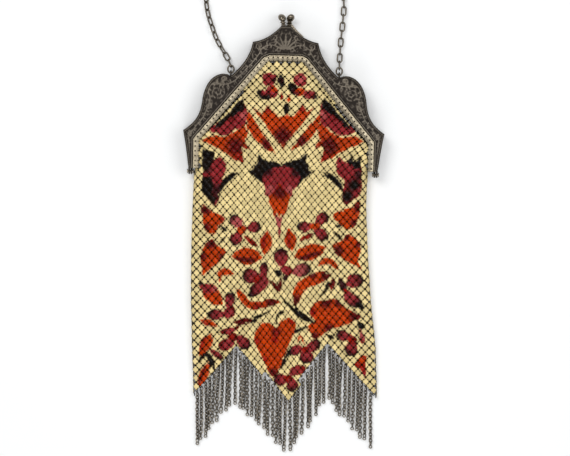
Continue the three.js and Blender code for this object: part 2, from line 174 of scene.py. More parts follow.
def makeGroup(name, inputs, outputs):
    group = bpy.data.node_groups.new(name, "ShaderNodeTree")
    for socketName, kind, value in inputs:
        socket = group.interface.new_socket(name=socketName, in_out="INPUT", socket_type=kind)
        socket.default_value = value
    for socketName, kind in outputs:
        group.interface.new_socket(name=socketName, in_out="OUTPUT", socket_type=kind)
    source = group.nodes.new("NodeGroupInput")
    target = group.nodes.new("NodeGroupOutput")
    return group, source.outputs, target.inputs


def addNode(tree, kind, inputs=None, **settings):
    node = tree.nodes.new(kind)
    for key, value in settings.items():
        setattr(node, key, value)
    for key, value in (inputs or {}).items():
        if isinstance(value, bpy.types.NodeSocket):
            tree.links.new(value, node.inputs[key])
        else:
            node.inputs[key].default_value = value
    return node


def mathNode(tree, operation, *values, clamp=False):
    return addNode(tree, "ShaderNodeMath", dict(enumerate(values)),
                   operation=operation, use_clamp=clamp).outputs[0]


def mixColour(tree, factor, first, second):
    # Sockets 0, 6 and 7 of a colour mix are its factor and its two colours
    return addNode(tree, "ShaderNodeMix", {0: factor, 6: first, 7: second},
                   data_type="RGBA").outputs[2]


floatKind, colourKind = "NodeSocketFloat", "NodeSocketColor"


def noiseValue(tree, scale, detail=4.0, roughness=0.55):
    place = addNode(tree, "ShaderNodeTexCoord").outputs["Object"]
    return addNode(tree, "ShaderNodeTexNoise", {
        "Vector": place, "Scale": scale, "Detail": detail, "Roughness": roughness}).outputs["Fac"]


def makeTarnish():
    # Metal that stays bright on its raised lines and darkens in its hollows
    group, source, target = makeGroup("tarnish", [
        ("Metal", colourKind, (0.3, 0.3, 0.3, 1)), ("Tarnish", colourKind, (0.05, 0.04, 0.03, 1)),
        ("Bright", colourKind, (0.6, 0.6, 0.6, 1)), ("Relief", floatKind, 0.5),
        ("Spread", floatKind, 0.5), ("Patch Scale", floatKind, 300.0),
        ("Roughness", floatKind, 0.35)],
        [("Color", colourKind), ("Roughness", floatKind)])
    patches = mathNode(group, "MULTIPLY_ADD", noiseValue(group, source["Patch Scale"]), 1.2, -0.35)
    hollow = mathNode(group, "SUBTRACT", source["Spread"], source["Relief"])
    dark = mathNode(group, "MULTIPLY_ADD", hollow, 1.3, patches, clamp=True)
    body = mixColour(group, dark, source["Metal"], source["Tarnish"])
    proud = mathNode(group, "MULTIPLY_ADD", source["Relief"], 2.4, -1.25, clamp=True)
    shown = mixColour(group, mathNode(group, "MULTIPLY", proud, 0.75), body, source["Bright"])
    rough = mathNode(group, "MULTIPLY_ADD", dark, 0.25, source["Roughness"])
    group.links.new(shown, target["Color"])
    group.links.new(rough, target["Roughness"])
    return group


def makeGrain():
    # Fine scratches and pits, as a height for a bump
    group, source, target = makeGroup("grain", [
        ("Scale", floatKind, 2500.0), ("Scratch Scale", floatKind, 700.0), ("Depth", floatKind, 1.0)],
        [("Height", floatKind)])
    pits = noiseValue(group, source["Scale"], detail=3.0)
    scratches = noiseValue(group, source["Scratch Scale"], detail=8.0, roughness=0.75)
    both = mathNode(group, "MULTIPLY_ADD", scratches, 0.6, pits)
    group.links.new(mathNode(group, "MULTIPLY", both, source["Depth"]), target["Height"])
    return group


def makeDust():
    # Brown handling dirt in soft patches
    group, source, target = makeGroup("dust", [
        ("Color", colourKind, (1, 1, 1, 1)), ("Dust", colourKind, (0.2, 0.13, 0.07, 1)),
        ("Amount", floatKind, 0.3), ("Patch Scale", floatKind, 60.0)],
        [("Color", colourKind), ("Mask", floatKind)])
    patches = noiseValue(group, source["Patch Scale"], detail=6.0)
    soft = mathNode(group, "MULTIPLY_ADD", patches, 2.2, -0.75, clamp=True)
    mask = mathNode(group, "MULTIPLY", soft, source["Amount"])
    group.links.new(mixColour(group, mask, source["Color"], source["Dust"]), target["Color"])
    group.links.new(mask, target["Mask"])
    return group


def makeEnamelWear():
    # A printed enamel face whose rim is worn through to brown metal; the brown metal is darker than bare
    # metal, which paints the shade in the gaps between plates
    group, source, target = makeGroup("enamelWear", [
        ("Print", colourKind, (1, 1, 1, 1)), ("Under Metal And Shade", colourKind, (0.2, 0.12, 0.05, 1)),
        ("Rim", floatKind, 0.0), ("Cell", floatKind, 0.5), ("Wear", floatKind, 0.5),
        ("Chip Scale", floatKind, 900.0), ("Shade Spread", floatKind, 0.2)],
        [("Color", colourKind), ("Metallic", floatKind), ("Roughness", floatKind)])
    chips = noiseValue(group, source["Chip Scale"], detail=5.0)
    chipped = mathNode(group, "MULTIPLY_ADD", chips, 1.4, -1.9)
    reach = mathNode(group, "MULTIPLY_ADD", source["Rim"], 1.6, chipped)
    worn = mathNode(group, "MULTIPLY", mathNode(group, "ADD", reach, source["Wear"]), 2.5, clamp=True)
    offMiddle = mathNode(group, "SUBTRACT", source["Cell"], 0.5)
    shade = mathNode(group, "MULTIPLY_ADD", offMiddle, source["Shade Spread"], 1.0)
    shaded = addNode(group, "ShaderNodeVectorMath", {0: source["Print"]}, operation="SCALE")
    group.links.new(shade, shaded.inputs["Scale"])
    uneven = mathNode(group, "MULTIPLY_ADD", chips, 0.25, 0.1)
    rough = mathNode(group, "MULTIPLY_ADD", worn, 0.2, uneven)
    group.links.new(mixColour(group, worn, shaded.outputs[0], source["Under Metal And Shade"]), target["Color"])
    group.links.new(worn, target["Metallic"])
    group.links.new(rough, target["Roughness"])
    return group


tarnishGroup = makeTarnish()
grainGroup = makeGrain()
dustGroup = makeDust()
enamelWearGroup = makeEnamelWear()
print("node groups built")


def newMaterial(name):
    material = bpy.data.materials.new(name)
    material.use_nodes = True
    return material, material.node_tree, material.node_tree.nodes["Principled BSDF"]


def placeGroup(tree, group, inputs):
    return addNode(tree, "ShaderNodeGroup", inputs, node_tree=group)


def dressShader(tree, shader, surface, look):
    # Dirt and a fine grain over the colour and the roughness of a surface group
    dirty = placeGroup(tree, dustGroup, {
        "Color": surface.outputs["Color"], "Dust": rgba(look["dust"]), "Amount": look["dustAmount"],
        "Patch Scale": look["dustScale"]})
    grain = placeGroup(tree, grainGroup, {"Scale": look["grainScale"]})
    bump = addNode(tree, "ShaderNodeBump", {
        "Height": grain.outputs["Height"], "Strength": look["grainStrength"], "Distance": 0.0002})
    tree.links.new(dirty.outputs["Color"], shader.inputs["Base Color"])
    tree.links.new(surface.outputs["Roughness"], shader.inputs["Roughness"])
    tree.links.new(bump.outputs["Normal"], shader.inputs["Normal"])


def metalMaterial(name, look):
    material, tree, shader = newMaterial(name)
    relief = look["relief"]
    if isinstance(relief, str):
        relief = addNode(tree, "ShaderNodeAttribute", attribute_name=relief).outputs["Fac"]
    shade = placeGroup(tree, tarnishGroup, {
        "Metal": rgba(look["metal"]), "Tarnish": rgba(look["tarnish"]), "Bright": rgba(look["bright"]),
        "Relief": relief, "Spread": look["spread"], "Patch Scale": look["patchScale"],
        "Roughness": look["roughness"]})
    dressShader(tree, shader, shade, look)
    shader.inputs["Metallic"].default_value = look["metallic"]
    return material


commonMetal = {
    "relief": 0.5, "spread": 0.5, "patchScale": 600.0, "dustAmount": 0.35, "dustScale": 60.0,
    "grainScale": 2600.0, "grainStrength": 0.25, "metallic": 0.9,
}
metalLooks = {
    "oxidisedSilver": {
        "metal": (78, 71, 63), "tarnish": (39, 34, 30), "bright": (108, 100, 88), "relief": "relief",
        "spread": 0.6, "patchScale": 420.0, "roughness": 0.34, "dust": (48, 40, 32),
        "dustAmount": 0.4, "grainStrength": 0.45, "metallic": 0.85},
    "paleNickel": {
        "metal": (158, 148, 126), "tarnish": (88, 77, 60), "bright": (196, 188, 166), "spread": 0.45,
        "patchScale": 500.0, "roughness": 0.28, "dust": (92, 74, 52), "dustAmount": 0.4,
        "grainScale": 3000.0, "grainStrength": 0.3},
    "claspMetal": {
        "metal": (140, 130, 115), "tarnish": (62, 54, 46), "bright": (205, 197, 180), "spread": 0.45,
        "patchScale": 350.0, "roughness": 0.2, "dust": (70, 56, 42), "dustAmount": 0.3,
        "grainScale": 2200.0, "grainStrength": 0.2, "metallic": 0.95},
    "chainMetal": {
        "metal": (124, 116, 103), "tarnish": (48, 42, 36), "bright": (188, 180, 164),
        "roughness": 0.26, "dust": (66, 54, 42)},
    # A lighter copy of the chain metal; the lighter colour paints the highlights on the fine twisted
    # links
    "fringeMetalPaintedHighlight": {
        "metal": (140, 132, 119), "tarnish": (52, 45, 37), "bright": (212, 205, 190),
        "roughness": 0.24, "dust": (74, 60, 46)},
    # Near black, darker than the rings' own metal, so that the rings and the rails' turned-under edges
    # paint the shade in the holes
    "linkRings": {
        "metal": (24, 18, 12), "tarnish": (9, 7, 5), "bright": (52, 42, 28), "patchScale": 800.0,
        "roughness": 0.32, "dust": (54, 40, 26), "dustAmount": 0.4},
}
metals = {name: metalMaterial(name, {**commonMetal, **look}) for name, look in metalLooks.items()}


enamelLook = {
    # The bare metal under the enamel, darkened beyond its own colour so that it also paints the shade in
    # the gaps
    "underMetalAndShade": (34, 24, 14), "wear": 0.34, "chipScale": 1000.0, "shadeSpread": 0.34,
    "dust": (84, 52, 22), "dustAmount": 0.12, "dustScale": 140.0, "grainScale": 2400.0,
    "grainStrength": 0.2,
    "coating": {"Coat Weight": 0.03, "Coat Roughness": 0.08, "Specular IOR Level": 0.05},
}


def enamelMaterial(name, look):
    material, tree, shader = newMaterial(name)
    values = {key: addNode(tree, "ShaderNodeAttribute", attribute_name=key).outputs
              for key in ("print", "rim", "cell")}
    face = placeGroup(tree, enamelWearGroup, {
        "Print": values["print"]["Color"], "Under Metal And Shade": rgba(look["underMetalAndShade"]),
        "Rim": values["rim"]["Fac"], "Cell": values["cell"]["Fac"], "Wear": look["wear"],
        "Chip Scale": look["chipScale"], "Shade Spread": look["shadeSpread"]})
    dressShader(tree, shader, face, look)
    tree.links.new(face.outputs["Metallic"], shader.inputs["Metallic"])
    for socketName, value in look["coating"].items():
        shader.inputs[socketName].default_value = value
    return material


enamel = enamelMaterial("printedEnamel", enamelLook)
print("materials built")


# The frame's outline from the apex to the toe and the window's corners, as shares of half the
# frame's width and of its height, on the right side

frameShape = {
    "apexFlat": 5.2,
    "outline": [
        {"controls": [(0.174, 0.901)], "end": (0.326, 0.886)},  # crown slope
        {"controls": [(0.355, 0.757)], "end": (0.541, 0.645)},  # neck
        {"controls": [(0.585, 0.676), (0.771, 0.676)], "end": (0.814, 0.486)},  # lobe top
        {"controls": [(0.83, 0.385), (0.86, 0.329)], "end": (1.0, 0.263)},  # lobe side
        {"controls": [(0.968, 0.149)], "end": (0.95, 0.05)},  # heel
        {"controls": [(0.943, 0.004)], "end": (0.93, 0.0)},  # toe
    ],
    "window": [(0.0, 0.799), (0.16, 0.799), (0.218, 0.782), (0.901, 0.208), (0.901, 0.0)],
    "halfDepth": 5.05,
    "sheet": 0.8,
    "lipDepth": 2.0,
    "beadHeight": 0.35,
    "beadWidth": 0.9,
    "beadInset": 0.5,
    "beadPitch": 1.15,
    "scrollHeight": 0.3,
    "edgeRound": 0.4,
    "groove": 0.12,
    "dish": 0.25,
    "skirtThickness": 0.48,
    "lipThickness": 0.3,
    "skirtRows": 5,
    "faceRows": 34,
    "stepsPerCurve": 44,
}
plateTop = frameHigh[2] - frameShape["beadHeight"]
frameMiddle = frameHigh[2] / 2


def bezier(points, steps):
    share = (np.arange(1, steps + 1) / steps)[:, None]
    points = [np.array(point, float) for point in points]
    while len(points) > 1:
        points = [a + (b - a) * share for a, b in zip(points, points[1:])]
    return points[0]


def catmullRom(corners, steps):
    # Points from the second of four corners towards the third
    p0, p1, p2, p3 = corners
    share = (np.arange(steps) / steps)[:, None]
    return 0.5 * (2 * p1 + (p2 - p0) * share + (2 * p0 - 5 * p1 + 4 * p2 - p3) * share ** 2
                  + (3 * p1 - p0 - 3 * p2 + p3) * share ** 3)


def withEnds(points):
    # The route with one more point straight on before and after it
    points = np.asarray(points, float)
    return np.vstack((2 * points[0] - points[1], points, 2 * points[-1] - points[-2]))


def smoothRoute(points, steps):
    ends = withEnds(points)
    runs = [catmullRom(corners, steps) for corners in zip(ends, ends[1:], ends[2:], ends[3:])]
    return np.vstack(runs + [ends[-2:-1]])


def closedRoute(points, steps=6):
    points, count = np.asarray(points, float), len(points)
    return np.vstack([catmullRom([points[(k + i) % count] for i in (-1, 0, 1, 2)], steps)
                      for k in range(count)])


def frameOutline():
    scale = np.array([halfWidth, frameHeight])
    at = np.array([frameShape["apexFlat"] / 2, frameHeight])
    line = [np.array([[0.0, frameHeight]]), bezier([(0.0, frameHeight), at], 6)]
    for curve in frameShape["outline"]:
        points = [at] + [np.array(p) * scale for p in (*curve["controls"], curve["end"])]
        line.append(bezier(points, frameShape["stepsPerCurve"]))
        at = points[-1]
    return np.vstack(line)


rightEdge = frameOutline()
windowLine = np.array(frameShape["window"]) * [halfWidth, frameHeight]
notch = np.array(frameShape["outline"][1]["end"]) * [halfWidth, frameHeight]


def lengths(line):
    return np.concatenate(([0], np.cumsum(np.linalg.norm(np.diff(line, axis=0), axis=1))))


def along(line, distance):
    run = lengths(line)
    return np.column_stack([np.interp(distance, run, line[:, i]) for i in range(line.shape[1])])


def nearestOnWindow(points):
    # The distance along the window line of the place nearest to each point
    run = lengths(windowLine)
    samples = np.linspace(0, run[-1], 700)
    places = along(windowLine, samples)
    gaps = np.linalg.norm(points[:, None] - places[None], axis=2)
    return samples[np.argmin(gaps, axis=1)]


# Scrolls stamped into the frame, on the right side: a stem with leaves, spirals and a palmette

scrollWork = {
    "stem": [(2.5, 67.5), (7.5, 69.8), (12.5, 68.2), (15.5, 63.5), (19, 59), (24, 53.6), (29, 48.8),
             (34.5, 47.2), (39.5, 48), (42.6, 44), (41.6, 38.6), (43.6, 32.6), (46, 27.6), (50, 22.6),
             (53, 18), (52.6, 11), (52, 5)],
    "spirals": [
        {"across": 14.6, "up": 69.2, "radius": 2.4, "turns": 1.4, "start": 200},
        {"across": 37.6, "up": 42.8, "radius": 4.6, "turns": 1.9, "start": 60},
        {"across": 33.6, "up": 50.2, "radius": 1.9, "turns": 1.3, "start": 300},
        {"across": 42.4, "up": 35.0, "radius": 1.8, "turns": 1.3, "start": 120},
        {"across": 52.2, "up": 19.4, "radius": 1.9, "turns": 1.4, "start": 150},
        {"across": 6.2, "up": 73.6, "radius": 1.7, "turns": 1.2, "start": 20},
        {"across": 24.6, "up": 56.6, "radius": 1.5, "turns": 1.2, "start": 100},
    ],
    "palmette": {"up": 67.0, "length": 8.6, "angles": [90, 66, 44, 22]},
    "leafPitch": 2.1,
    "leafLength": 2.3,
    "leafAngle": 52,
    "stemWidth": 0.42,
    "leafWidth": 0.5,
    "fillPitch": 1.75,
    "fillLength": 2.1,
    "fillWidth": 0.42,
    "fillHeight": 0.72,
}


def scrollStrokes():
    # Points of every stroke, each with the stroke's half width there
    stem = smoothRoute(scrollWork["stem"], 12)
    strokes = [np.column_stack((stem, np.full(len(stem), scrollWork["stemWidth"])))]
    run = lengths(stem)
    for number, distance in enumerate(np.arange(1.5, run[-1], scrollWork["leafPitch"])):
        at = along(stem, [distance])[0]
        ahead = along(stem, [min(distance + 0.2, run[-1])])[0] - along(stem, [distance - 0.2])[0]
        side = 1 if number % 2 else -1
        turn = math.atan2(ahead[1], ahead[0]) + side * math.radians(scrollWork["leafAngle"])
        share = np.linspace(0, 1, 9)
        bend = turn + side * 0.6 * share
        ways = np.column_stack((np.cos(bend), np.sin(bend)))
        leaf = at + (scrollWork["leafLength"] * share)[:, None] * ways
        width = scrollWork["leafWidth"] * np.sin(math.pi * (0.15 + 0.8 * share))
        strokes.append(np.column_stack((leaf, np.maximum(width, 0.1))))
    for spiral in scrollWork["spirals"]:
        share = np.linspace(0, 1, 60)
        turn = math.radians(spiral["start"]) + 2 * math.pi * spiral["turns"] * share
        radius = spiral["radius"] * (1 - 0.86 * share)
        curl = np.column_stack((spiral["across"] + radius * np.cos(turn),
                                spiral["up"] + radius * np.sin(turn)))
        strokes.append(np.column_stack((curl, scrollWork["stemWidth"] * (1 - 0.3 * share))))
    palmette = scrollWork["palmette"]
    for angle in palmette["angles"]:
        share = np.linspace(0.12, 1, 16)
        reach = palmette["length"] * (0.72 + 0.28 * math.sin(math.radians(angle)))
        petal = np.column_stack((reach * share * math.cos(math.radians(angle)),
                                 palmette["up"] + reach * share * math.sin(math.radians(angle))))
        strokes.append(np.column_stack((petal, 0.55 * np.sin(math.pi * (0.1 + 0.8 * share)) + 0.12)))
    return np.vstack(strokes)


def fillStrokes():
    # Little curled leaves that crowd the ground between the scrolls
    pitch = scrollWork["fillPitch"]
    spots = [(x + (0.5 * pitch if row % 2 else 0), y)
             for row, y in enumerate(np.arange(1, frameHeight, pitch))
             for x in np.arange(0.6, halfWidth, pitch)]
    curls = []
    for spot in spots:
        place = spot + rng.normal(0, 0.3, 2)
        turn, bend = rng.uniform(0, 2 * math.pi), rng.choice([-1, 1]) * rng.uniform(0.8, 2.2)
        share = np.linspace(0, 1, 6)
        reach = scrollWork["fillLength"] * rng.uniform(0.7, 1.15)
        steps = np.column_stack((np.cos(turn + bend * share), np.sin(turn + bend * share))) * reach / 6
        width = scrollWork["fillWidth"] * np.sin(math.pi * (0.2 + 0.7 * share)) * rng.uniform(0.7, 1.2)
        curls.append(np.column_stack((place + np.cumsum(steps, axis=0), np.maximum(width, 0.08))))
    return np.vstack(curls)


def nearStrokes(points, strokes):
    relief = np.zeros(len(points))
    for start in range(0, len(points), 4000):
        block = points[start:start + 4000]
        gaps = np.hypot(block[:, :1] - strokes[:, 0], block[:, 1:] - strokes[:, 1]) / strokes[:, 2]
        relief[start:start + 4000] = 1 - rounded(0.35, 1.35, gaps.min(axis=1))
    return relief


scrolls, fills = scrollStrokes(), fillStrokes()


def scrollRelief(points):
    folded = np.column_stack((np.abs(points[:, 0]), points[:, 1]))
    return np.maximum(nearStrokes(folded, scrolls),
                      scrollWork["fillHeight"] * nearStrokes(folded, fills))


def frameSheet():
    # The stamped sheet of the half that faces up: skirt, rolled edge, plate, rolled edge and lip
    edgeRun, windowRun = lengths(rightEdge), lengths(windowLine)
    innerRun = np.maximum.accumulate(nearestOnWindow(rightEdge))
    innerRun = 0.9 * innerRun + 0.1 * edgeRun / edgeRun[-1] * windowRun[-1]
    innerRun[0], innerRun[-1] = 0, windowRun[-1]
    innerRight = along(windowLine, innerRun)
    flip = np.array([-1, 1])
    outer = np.vstack((rightEdge[:0:-1] * flip, rightEdge))
    inner = np.vstack((innerRight[:0:-1] * flip, innerRight))
    run = np.concatenate((-edgeRun[:0:-1], edgeRun))
    across = inner - outer
    reach = np.linalg.norm(across, axis=1)
    inward = across / np.maximum(reach, 1e-6)[:, None]
    curl = np.minimum(frameShape["edgeRound"], reach * 0.35)
    wave = np.cos(2 * math.pi * run / frameShape["beadPitch"])
    rows, reliefs = [], []

    def addRow(place, height, relief):
        rows.append(np.column_stack((place, np.broadcast_to(height, len(place)))))
        reliefs.append(np.broadcast_to(relief, len(place)))

    for share in np.linspace(0, 1, frameShape["skirtRows"]):
        groove = frameShape["groove"] * wave * (1 if 0 < share < 1 else 0)
        depth = frameShape["halfDepth"] - (frameShape["halfDepth"] - frameShape["edgeRound"]) * share
        addRow(outer + inward * (0.06 + 0.06 * groove)[:, None], plateTop - depth, 0.55)
    for turn in (30, 60):
        bend = math.radians(turn)
        addRow(outer + inward * (curl * (1 - math.cos(bend)))[:, None],
               plateTop - frameShape["edgeRound"] * (1 - math.sin(bend)), 0.75)
    even = np.linspace(0, 1, frameShape["faceRows"])
    half = frameShape["beadWidth"] / 2
    rope = 0.78 + 0.22 * wave
    for share in 0.55 * (0.5 - 0.5 * np.cos(math.pi * even)) + 0.45 * even:
        fromOuter = curl + (reach - curl) * share
        fromInner = (reach - curl) * (1 - share)
        place = outer + inward * fromOuter[:, None]
        outerBead, innerBead = (np.clip(1 - (gap / half - 1) ** 2, 0, 1) ** 0.5
                                for gap in (fromOuter - frameShape["beadInset"], fromInner))
        bead = np.maximum(outerBead * rope, innerBead)
        scroll = scrollRelief(place) * rounded(1.2, 2.2, fromOuter) * rounded(0.9, 1.7, fromInner)
        height = np.maximum(bead * frameShape["beadHeight"], scroll * frameShape["scrollHeight"])
        dish = -frameShape["dish"] * rounded(1.0, 2.6, fromOuter) * rounded(0.8, 2.0, fromInner)
        addRow(place, plateTop + height + dish * (1 - bead), np.maximum(bead * 0.9, scroll))
    for depth in (0.15, 0.8, frameShape["lipDepth"]):
        addRow(inner, plateTop - depth, 0.5)
    return np.vstack(rows), gridFaces(len(rows), len(run)), np.concatenate(reliefs)


hinge = {
    "lugThickness": 0.9, "lugRadius": 1.7, "lugClear": 0.15, "pinDrop": 1.6,
    "pinRadius": 0.7, "headRadius": 1.25, "headThickness": 0.6, "sides": 28,
}
lugInner = windowLine[-1][0] + hinge["lugClear"]
lugOuter = lugInner + hinge["lugThickness"] + seatGap


def turnedToX(part, x, y, z):
    points, faces = part
    return points[:, [2, 0, 1]] + [x, y, z], faces


def lug(side, start, towards):
    # An ear with a round end: towards is 1 for the half that faces up
    ear = [(0, 0), (hinge["lugRadius"] - 0.15, 0), (hinge["lugRadius"], 0.15),
           (hinge["lugRadius"], hinge["lugThickness"] - 0.15),
           (hinge["lugRadius"] - 0.15, hinge["lugThickness"]), (0, hinge["lugThickness"])]
    x = start if side > 0 else -start - hinge["lugThickness"]
    disc = turnedToX(lathe(ear, hinge["sides"]), x, -hinge["pinDrop"], frameMiddle)
    reach = (plateTop - frameShape["sheet"] / 2 - frameMiddle) * towards
    radius = hinge["lugRadius"]
    plan = [(-hinge["pinDrop"] - radius * 0.7, 0.3 * towards),
            (-hinge["pinDrop"] - radius * 0.2, reach * 0.5), (0.2, reach), (radius, reach),
            (radius * 0.9, reach * 0.3), (-0.2, 0)]
    points = [[x + depth, y, frameMiddle + z] for depth in (0, hinge["lugThickness"]) for y, z in plan]
    count = len(plan)
    faces = [list(range(count)), list(range(2 * count - 1, count - 1, -1))]
    faces += [[k, (k + 1) % count, count + (k + 1) % count, count + k] for k in range(count)]
    if towards < 0:
        faces = [face[::-1] for face in faces]
    return joined([disc, (np.array(points), [face[::-1] for face in faces])])


eye = {"radius": 1.9, "wire": 0.45, "height": 3.65, "rise": 1.5}


def innerSkin(points, towards):
    # The sheet's other face follows the first one inside it, without its relief
    inside = points.copy()
    columns = 2 * len(rightEdge) - 1
    shaped, inner = (grid.reshape(-1, columns, 3) for grid in (points, inside))
    toWindow = shaped[-1, :, :2] - shaped[0, :, :2]
    toWindow /= np.maximum(np.linalg.norm(toWindow, axis=1), 1e-6)[:, None]
    lastSkirtRow, lipRows = frameShape["skirtRows"] + 1, 3
    inner[:lastSkirtRow + 2, :, :2] += frameShape["skirtThickness"] * toWindow
    inner[-lipRows:, :, :2] -= frameShape["lipThickness"] * toWindow
    flat = plateTop - frameShape["sheet"]
    inner[lastSkirtRow:-lipRows, :, 2] = flat if towards > 0 else 2 * frameMiddle - flat
    return inside, len(shaped), columns


def frameHalf(name, towards, replaced):
    points, faces, relief = frameSheet()
    if towards < 0:
        points = points * [1, 1, -1] + [0, 0, 2 * frameMiddle]
    else:
        faces = [face[::-1] for face in faces]
    inside, rows, columns = innerSkin(points, towards)
    base = len(points)
    skin = [[base + i for i in face[::-1]] for face in faces]
    edges = [(r * columns + c, r * columns + c + 1, (r == 0) != (towards > 0))
             for r in (0, rows - 1) for c in range(columns - 1)]
    edges += [(r * columns + c, (r + 1) * columns + c, (c == 0) == (towards > 0))
              for c in (0, columns - 1) for r in range(rows - 1)]
    rim = [[b, a, base + a, base + b] if turned else [a, b, base + b, base + a]
           for a, b, turned in edges]
    parts = [(np.vstack((points, inside)), faces + skin + rim)]
    parts += [lug(side, lugOuter if towards > 0 else lugInner, towards) for side in (1, -1)]
    if towards < 0:
        for side in (1, -1):
            loop = circle([side * notch[0], notch[1] + eye["rise"], eye["height"]], eye["radius"],
                          [0, 1, 0], [0, 0, 1], 32)
            parts.append(wireLoop(loop, [1, 0, 0], eye["wire"], 12))
    whole = joined(parts)
    values = np.full(len(whole[0]), 0.6)
    values[:base] = relief
    values[base:2 * base] = 0.25
    return makePiece(name, whole, metals["oxidisedSilver"], replaced,
                     smoothAngle=50, attributes={"relief": values})


frameHalf("front_frame_stamped", 1, ["front_frame"])
frameHalf("back_frame_stamped", -1, ["back_frame"])


# The rails: pale strips with round holes, and the small rings that hang the mesh from them; a near-black
# strip under each rail paints the shade behind its holes

railShape = {
    "width": 3.0, "thickness": 0.8, "bevel": 0.42, "holeRadius": 0.46, "holePitch": 2.68,
    "holeSides": 16, "holeAside": -0.42, "ringRadius": 0.62, "ringWire": 0.17, "flangeDrop": 1.2,
    "flangeThickness": 0.25, "flangeAside": (-1.4, 0.3),
}


def offsetLine(line, distance):
    # The line moved to the right of its direction, with mitred corners
    steps = np.diff(line, axis=0)
    normals = np.column_stack((steps[:, 1], -steps[:, 0])) / np.linalg.norm(steps, axis=1)[:, None]
    before = np.vstack((normals[:1], normals))
    after = np.vstack((normals, normals[-1:]))
    mitre = before + after
    scale = 2 / np.sum(mitre * mitre, axis=1)
    return line + distance * mitre * scale[:, None]


railLine = np.vstack((windowLine[:0:-1] * [-1, 1], windowLine))
railLine[0, 1] = railLine[-1, 1] = seatGap
railSpine = offsetLine(railLine, seatGap + railShape["width"] / 2)


def railPoint(distance, aside):
    # Places beside the rail's middle line; the corners are mitred
    run = lengths(railSpine)
    line = offsetLine(railSpine, 1.0) - railSpine
    centre = along(railSpine, distance)
    share = np.column_stack([np.interp(distance, run, line[:, i]) for i in range(2)])
    step = np.clip(np.searchsorted(run, distance) - 1, 0, len(run) - 2)
    normal = np.diff(railSpine, axis=0)[step]
    normal = np.column_stack((normal[:, 1], -normal[:, 0])) / np.linalg.norm(normal, axis=1)[:, None]
    near = np.min(np.abs(np.asarray(distance)[:, None] - run[None, 1:-1]), axis=1)
    blendShare = (1 - rounded(0.0, 1.2, near))[:, None]
    return centre + np.asarray(aside)[:, None] * (share * blendShare + normal * (1 - blendShare))


def railStrip(low):
    # One tile for each hole: the hole's ring of points, its shadow on the border, and the corners
    total = lengths(railSpine)[-1]
    count = round(total / railShape["holePitch"])
    pitch, half, sides = total / count, railShape["width"] / 2, railShape["holeSides"]
    turns = 2 * math.pi * (np.arange(sides) + 0.5) / sides
    ring = np.column_stack((np.cos(turns), np.sin(turns)))
    hole = railShape["holeRadius"] * ring + [0, railShape["holeAside"]]
    border = ring / np.max(np.abs(ring) / [pitch / 2, half], axis=1)[:, None]
    corners = np.array([[1, 1], [-1, 1], [-1, -1], [1, -1]]) * [pitch / 2, half]
    flat = np.vstack((hole, border, corners))
    base, quarter = len(flat), sides // 4
    cornerAfter = {k: [2 * sides + (k + 1) // quarter] if (k + 1) % quarter == quarter // 2 else []
                   for k in range(sides)}
    faces, outerLoop = [], []
    for k in range(sides):
        n = (k + 1) % sides
        faces += [[k, sides + k, *cornerAfter[k], sides + n, n], [k, n, base + n, base + k]]
        outerLoop += [sides + k, *cornerAfter[k]]
    under = [[base + i for i in face[::-1]] for face in faces if max(face) < base]
    edges = list(zip(outerLoop, outerLoop[1:] + outerLoop[:1]))

    def wallsAlong(axis, sign, limit):
        return [[a, base + a, base + b, b] for a, b in edges
                if min(flat[a, axis] * sign, flat[b, axis] * sign) > limit - 0.01]

    parts = []
    for number in range(count):
        place = railPoint((number + 0.5) * pitch + flat[:, 0], flat[:, 1])
        bevel = railShape["bevel"] * np.maximum(flat[:, 1], 0) / half
        top = np.column_stack((place, low + railShape["thickness"] - bevel))
        bottom = np.column_stack((place, np.full(base, low)))
        walls = wallsAlong(1, 1, half) + wallsAlong(1, -1, half)
        if number in (0, count - 1):
            walls += wallsAlong(0, -1 if number == 0 else 1, pitch / 2)
        parts.append((np.vstack((top, bottom)), faces + under + walls))
    return joined(parts), (np.arange(count) + 0.5) * pitch


def hangingRings(low, distances):
    # Each ring goes through the rail close to its inner edge
    middles = railPoint(distances, np.full(len(distances), railShape["width"] / 2 + 0.1))
    holes = railPoint(distances, np.zeros(len(distances)))
    height = low + railShape["thickness"] / 2
    rings = []
    for centre, hole in zip(middles, holes):
        outward = np.append(centre - hole, 0)
        outward /= np.linalg.norm(outward)
        loop = circle([*centre, height], railShape["ringRadius"], outward, [0, 0, 1], 12)
        rings.append(wireLoop(loop, np.cross(outward, [0, 0, 1]), railShape["ringWire"], 5))
    return joined(rings)


def railFlange(height):
    # The rail's turned-under edge, a near-black strip behind its holes that paints the shade seen through
    # them
    distances = np.linspace(0.2, lengths(railSpine)[-1] - 0.2, 120)
    last = len(distances)
    far, near = railShape["flangeAside"]
    thickness = railShape["flangeThickness"]
    rows = [np.column_stack((railPoint(distances, np.full(last, aside)), np.full(last, height + rise)))
            for aside, rise in ((far, 0), (near, 0), (near, thickness), (far, thickness), (far, 0))]
    faces = gridFaces(5, last)
    faces += [[3 * last, 2 * last, last, 0], [last - 1, 2 * last - 1, 3 * last - 1, 4 * last - 1]]
    return np.vstack(rows), faces


for side, low in (("front", railLow[2]), ("back", backRailLow[2])):
    strip, holePlaces = railStrip(low)
    inward = -1 if side == "front" else 1
    # The turned-under edge lies under the holes as painted shade
    flange = railFlange(low + railShape["thickness"] / 2 + inward * railShape["flangeDrop"])
    makePiece(side + "_rail_pierced", strip, metals["paleNickel"], [side + "_rail"],
              smoothAngle=50)
    makePiece(side + "_rail_rings", joined([hangingRings(low, holePlaces), flange]), metals["linkRings"])


# Hinge pins and the two knobs of the clasp

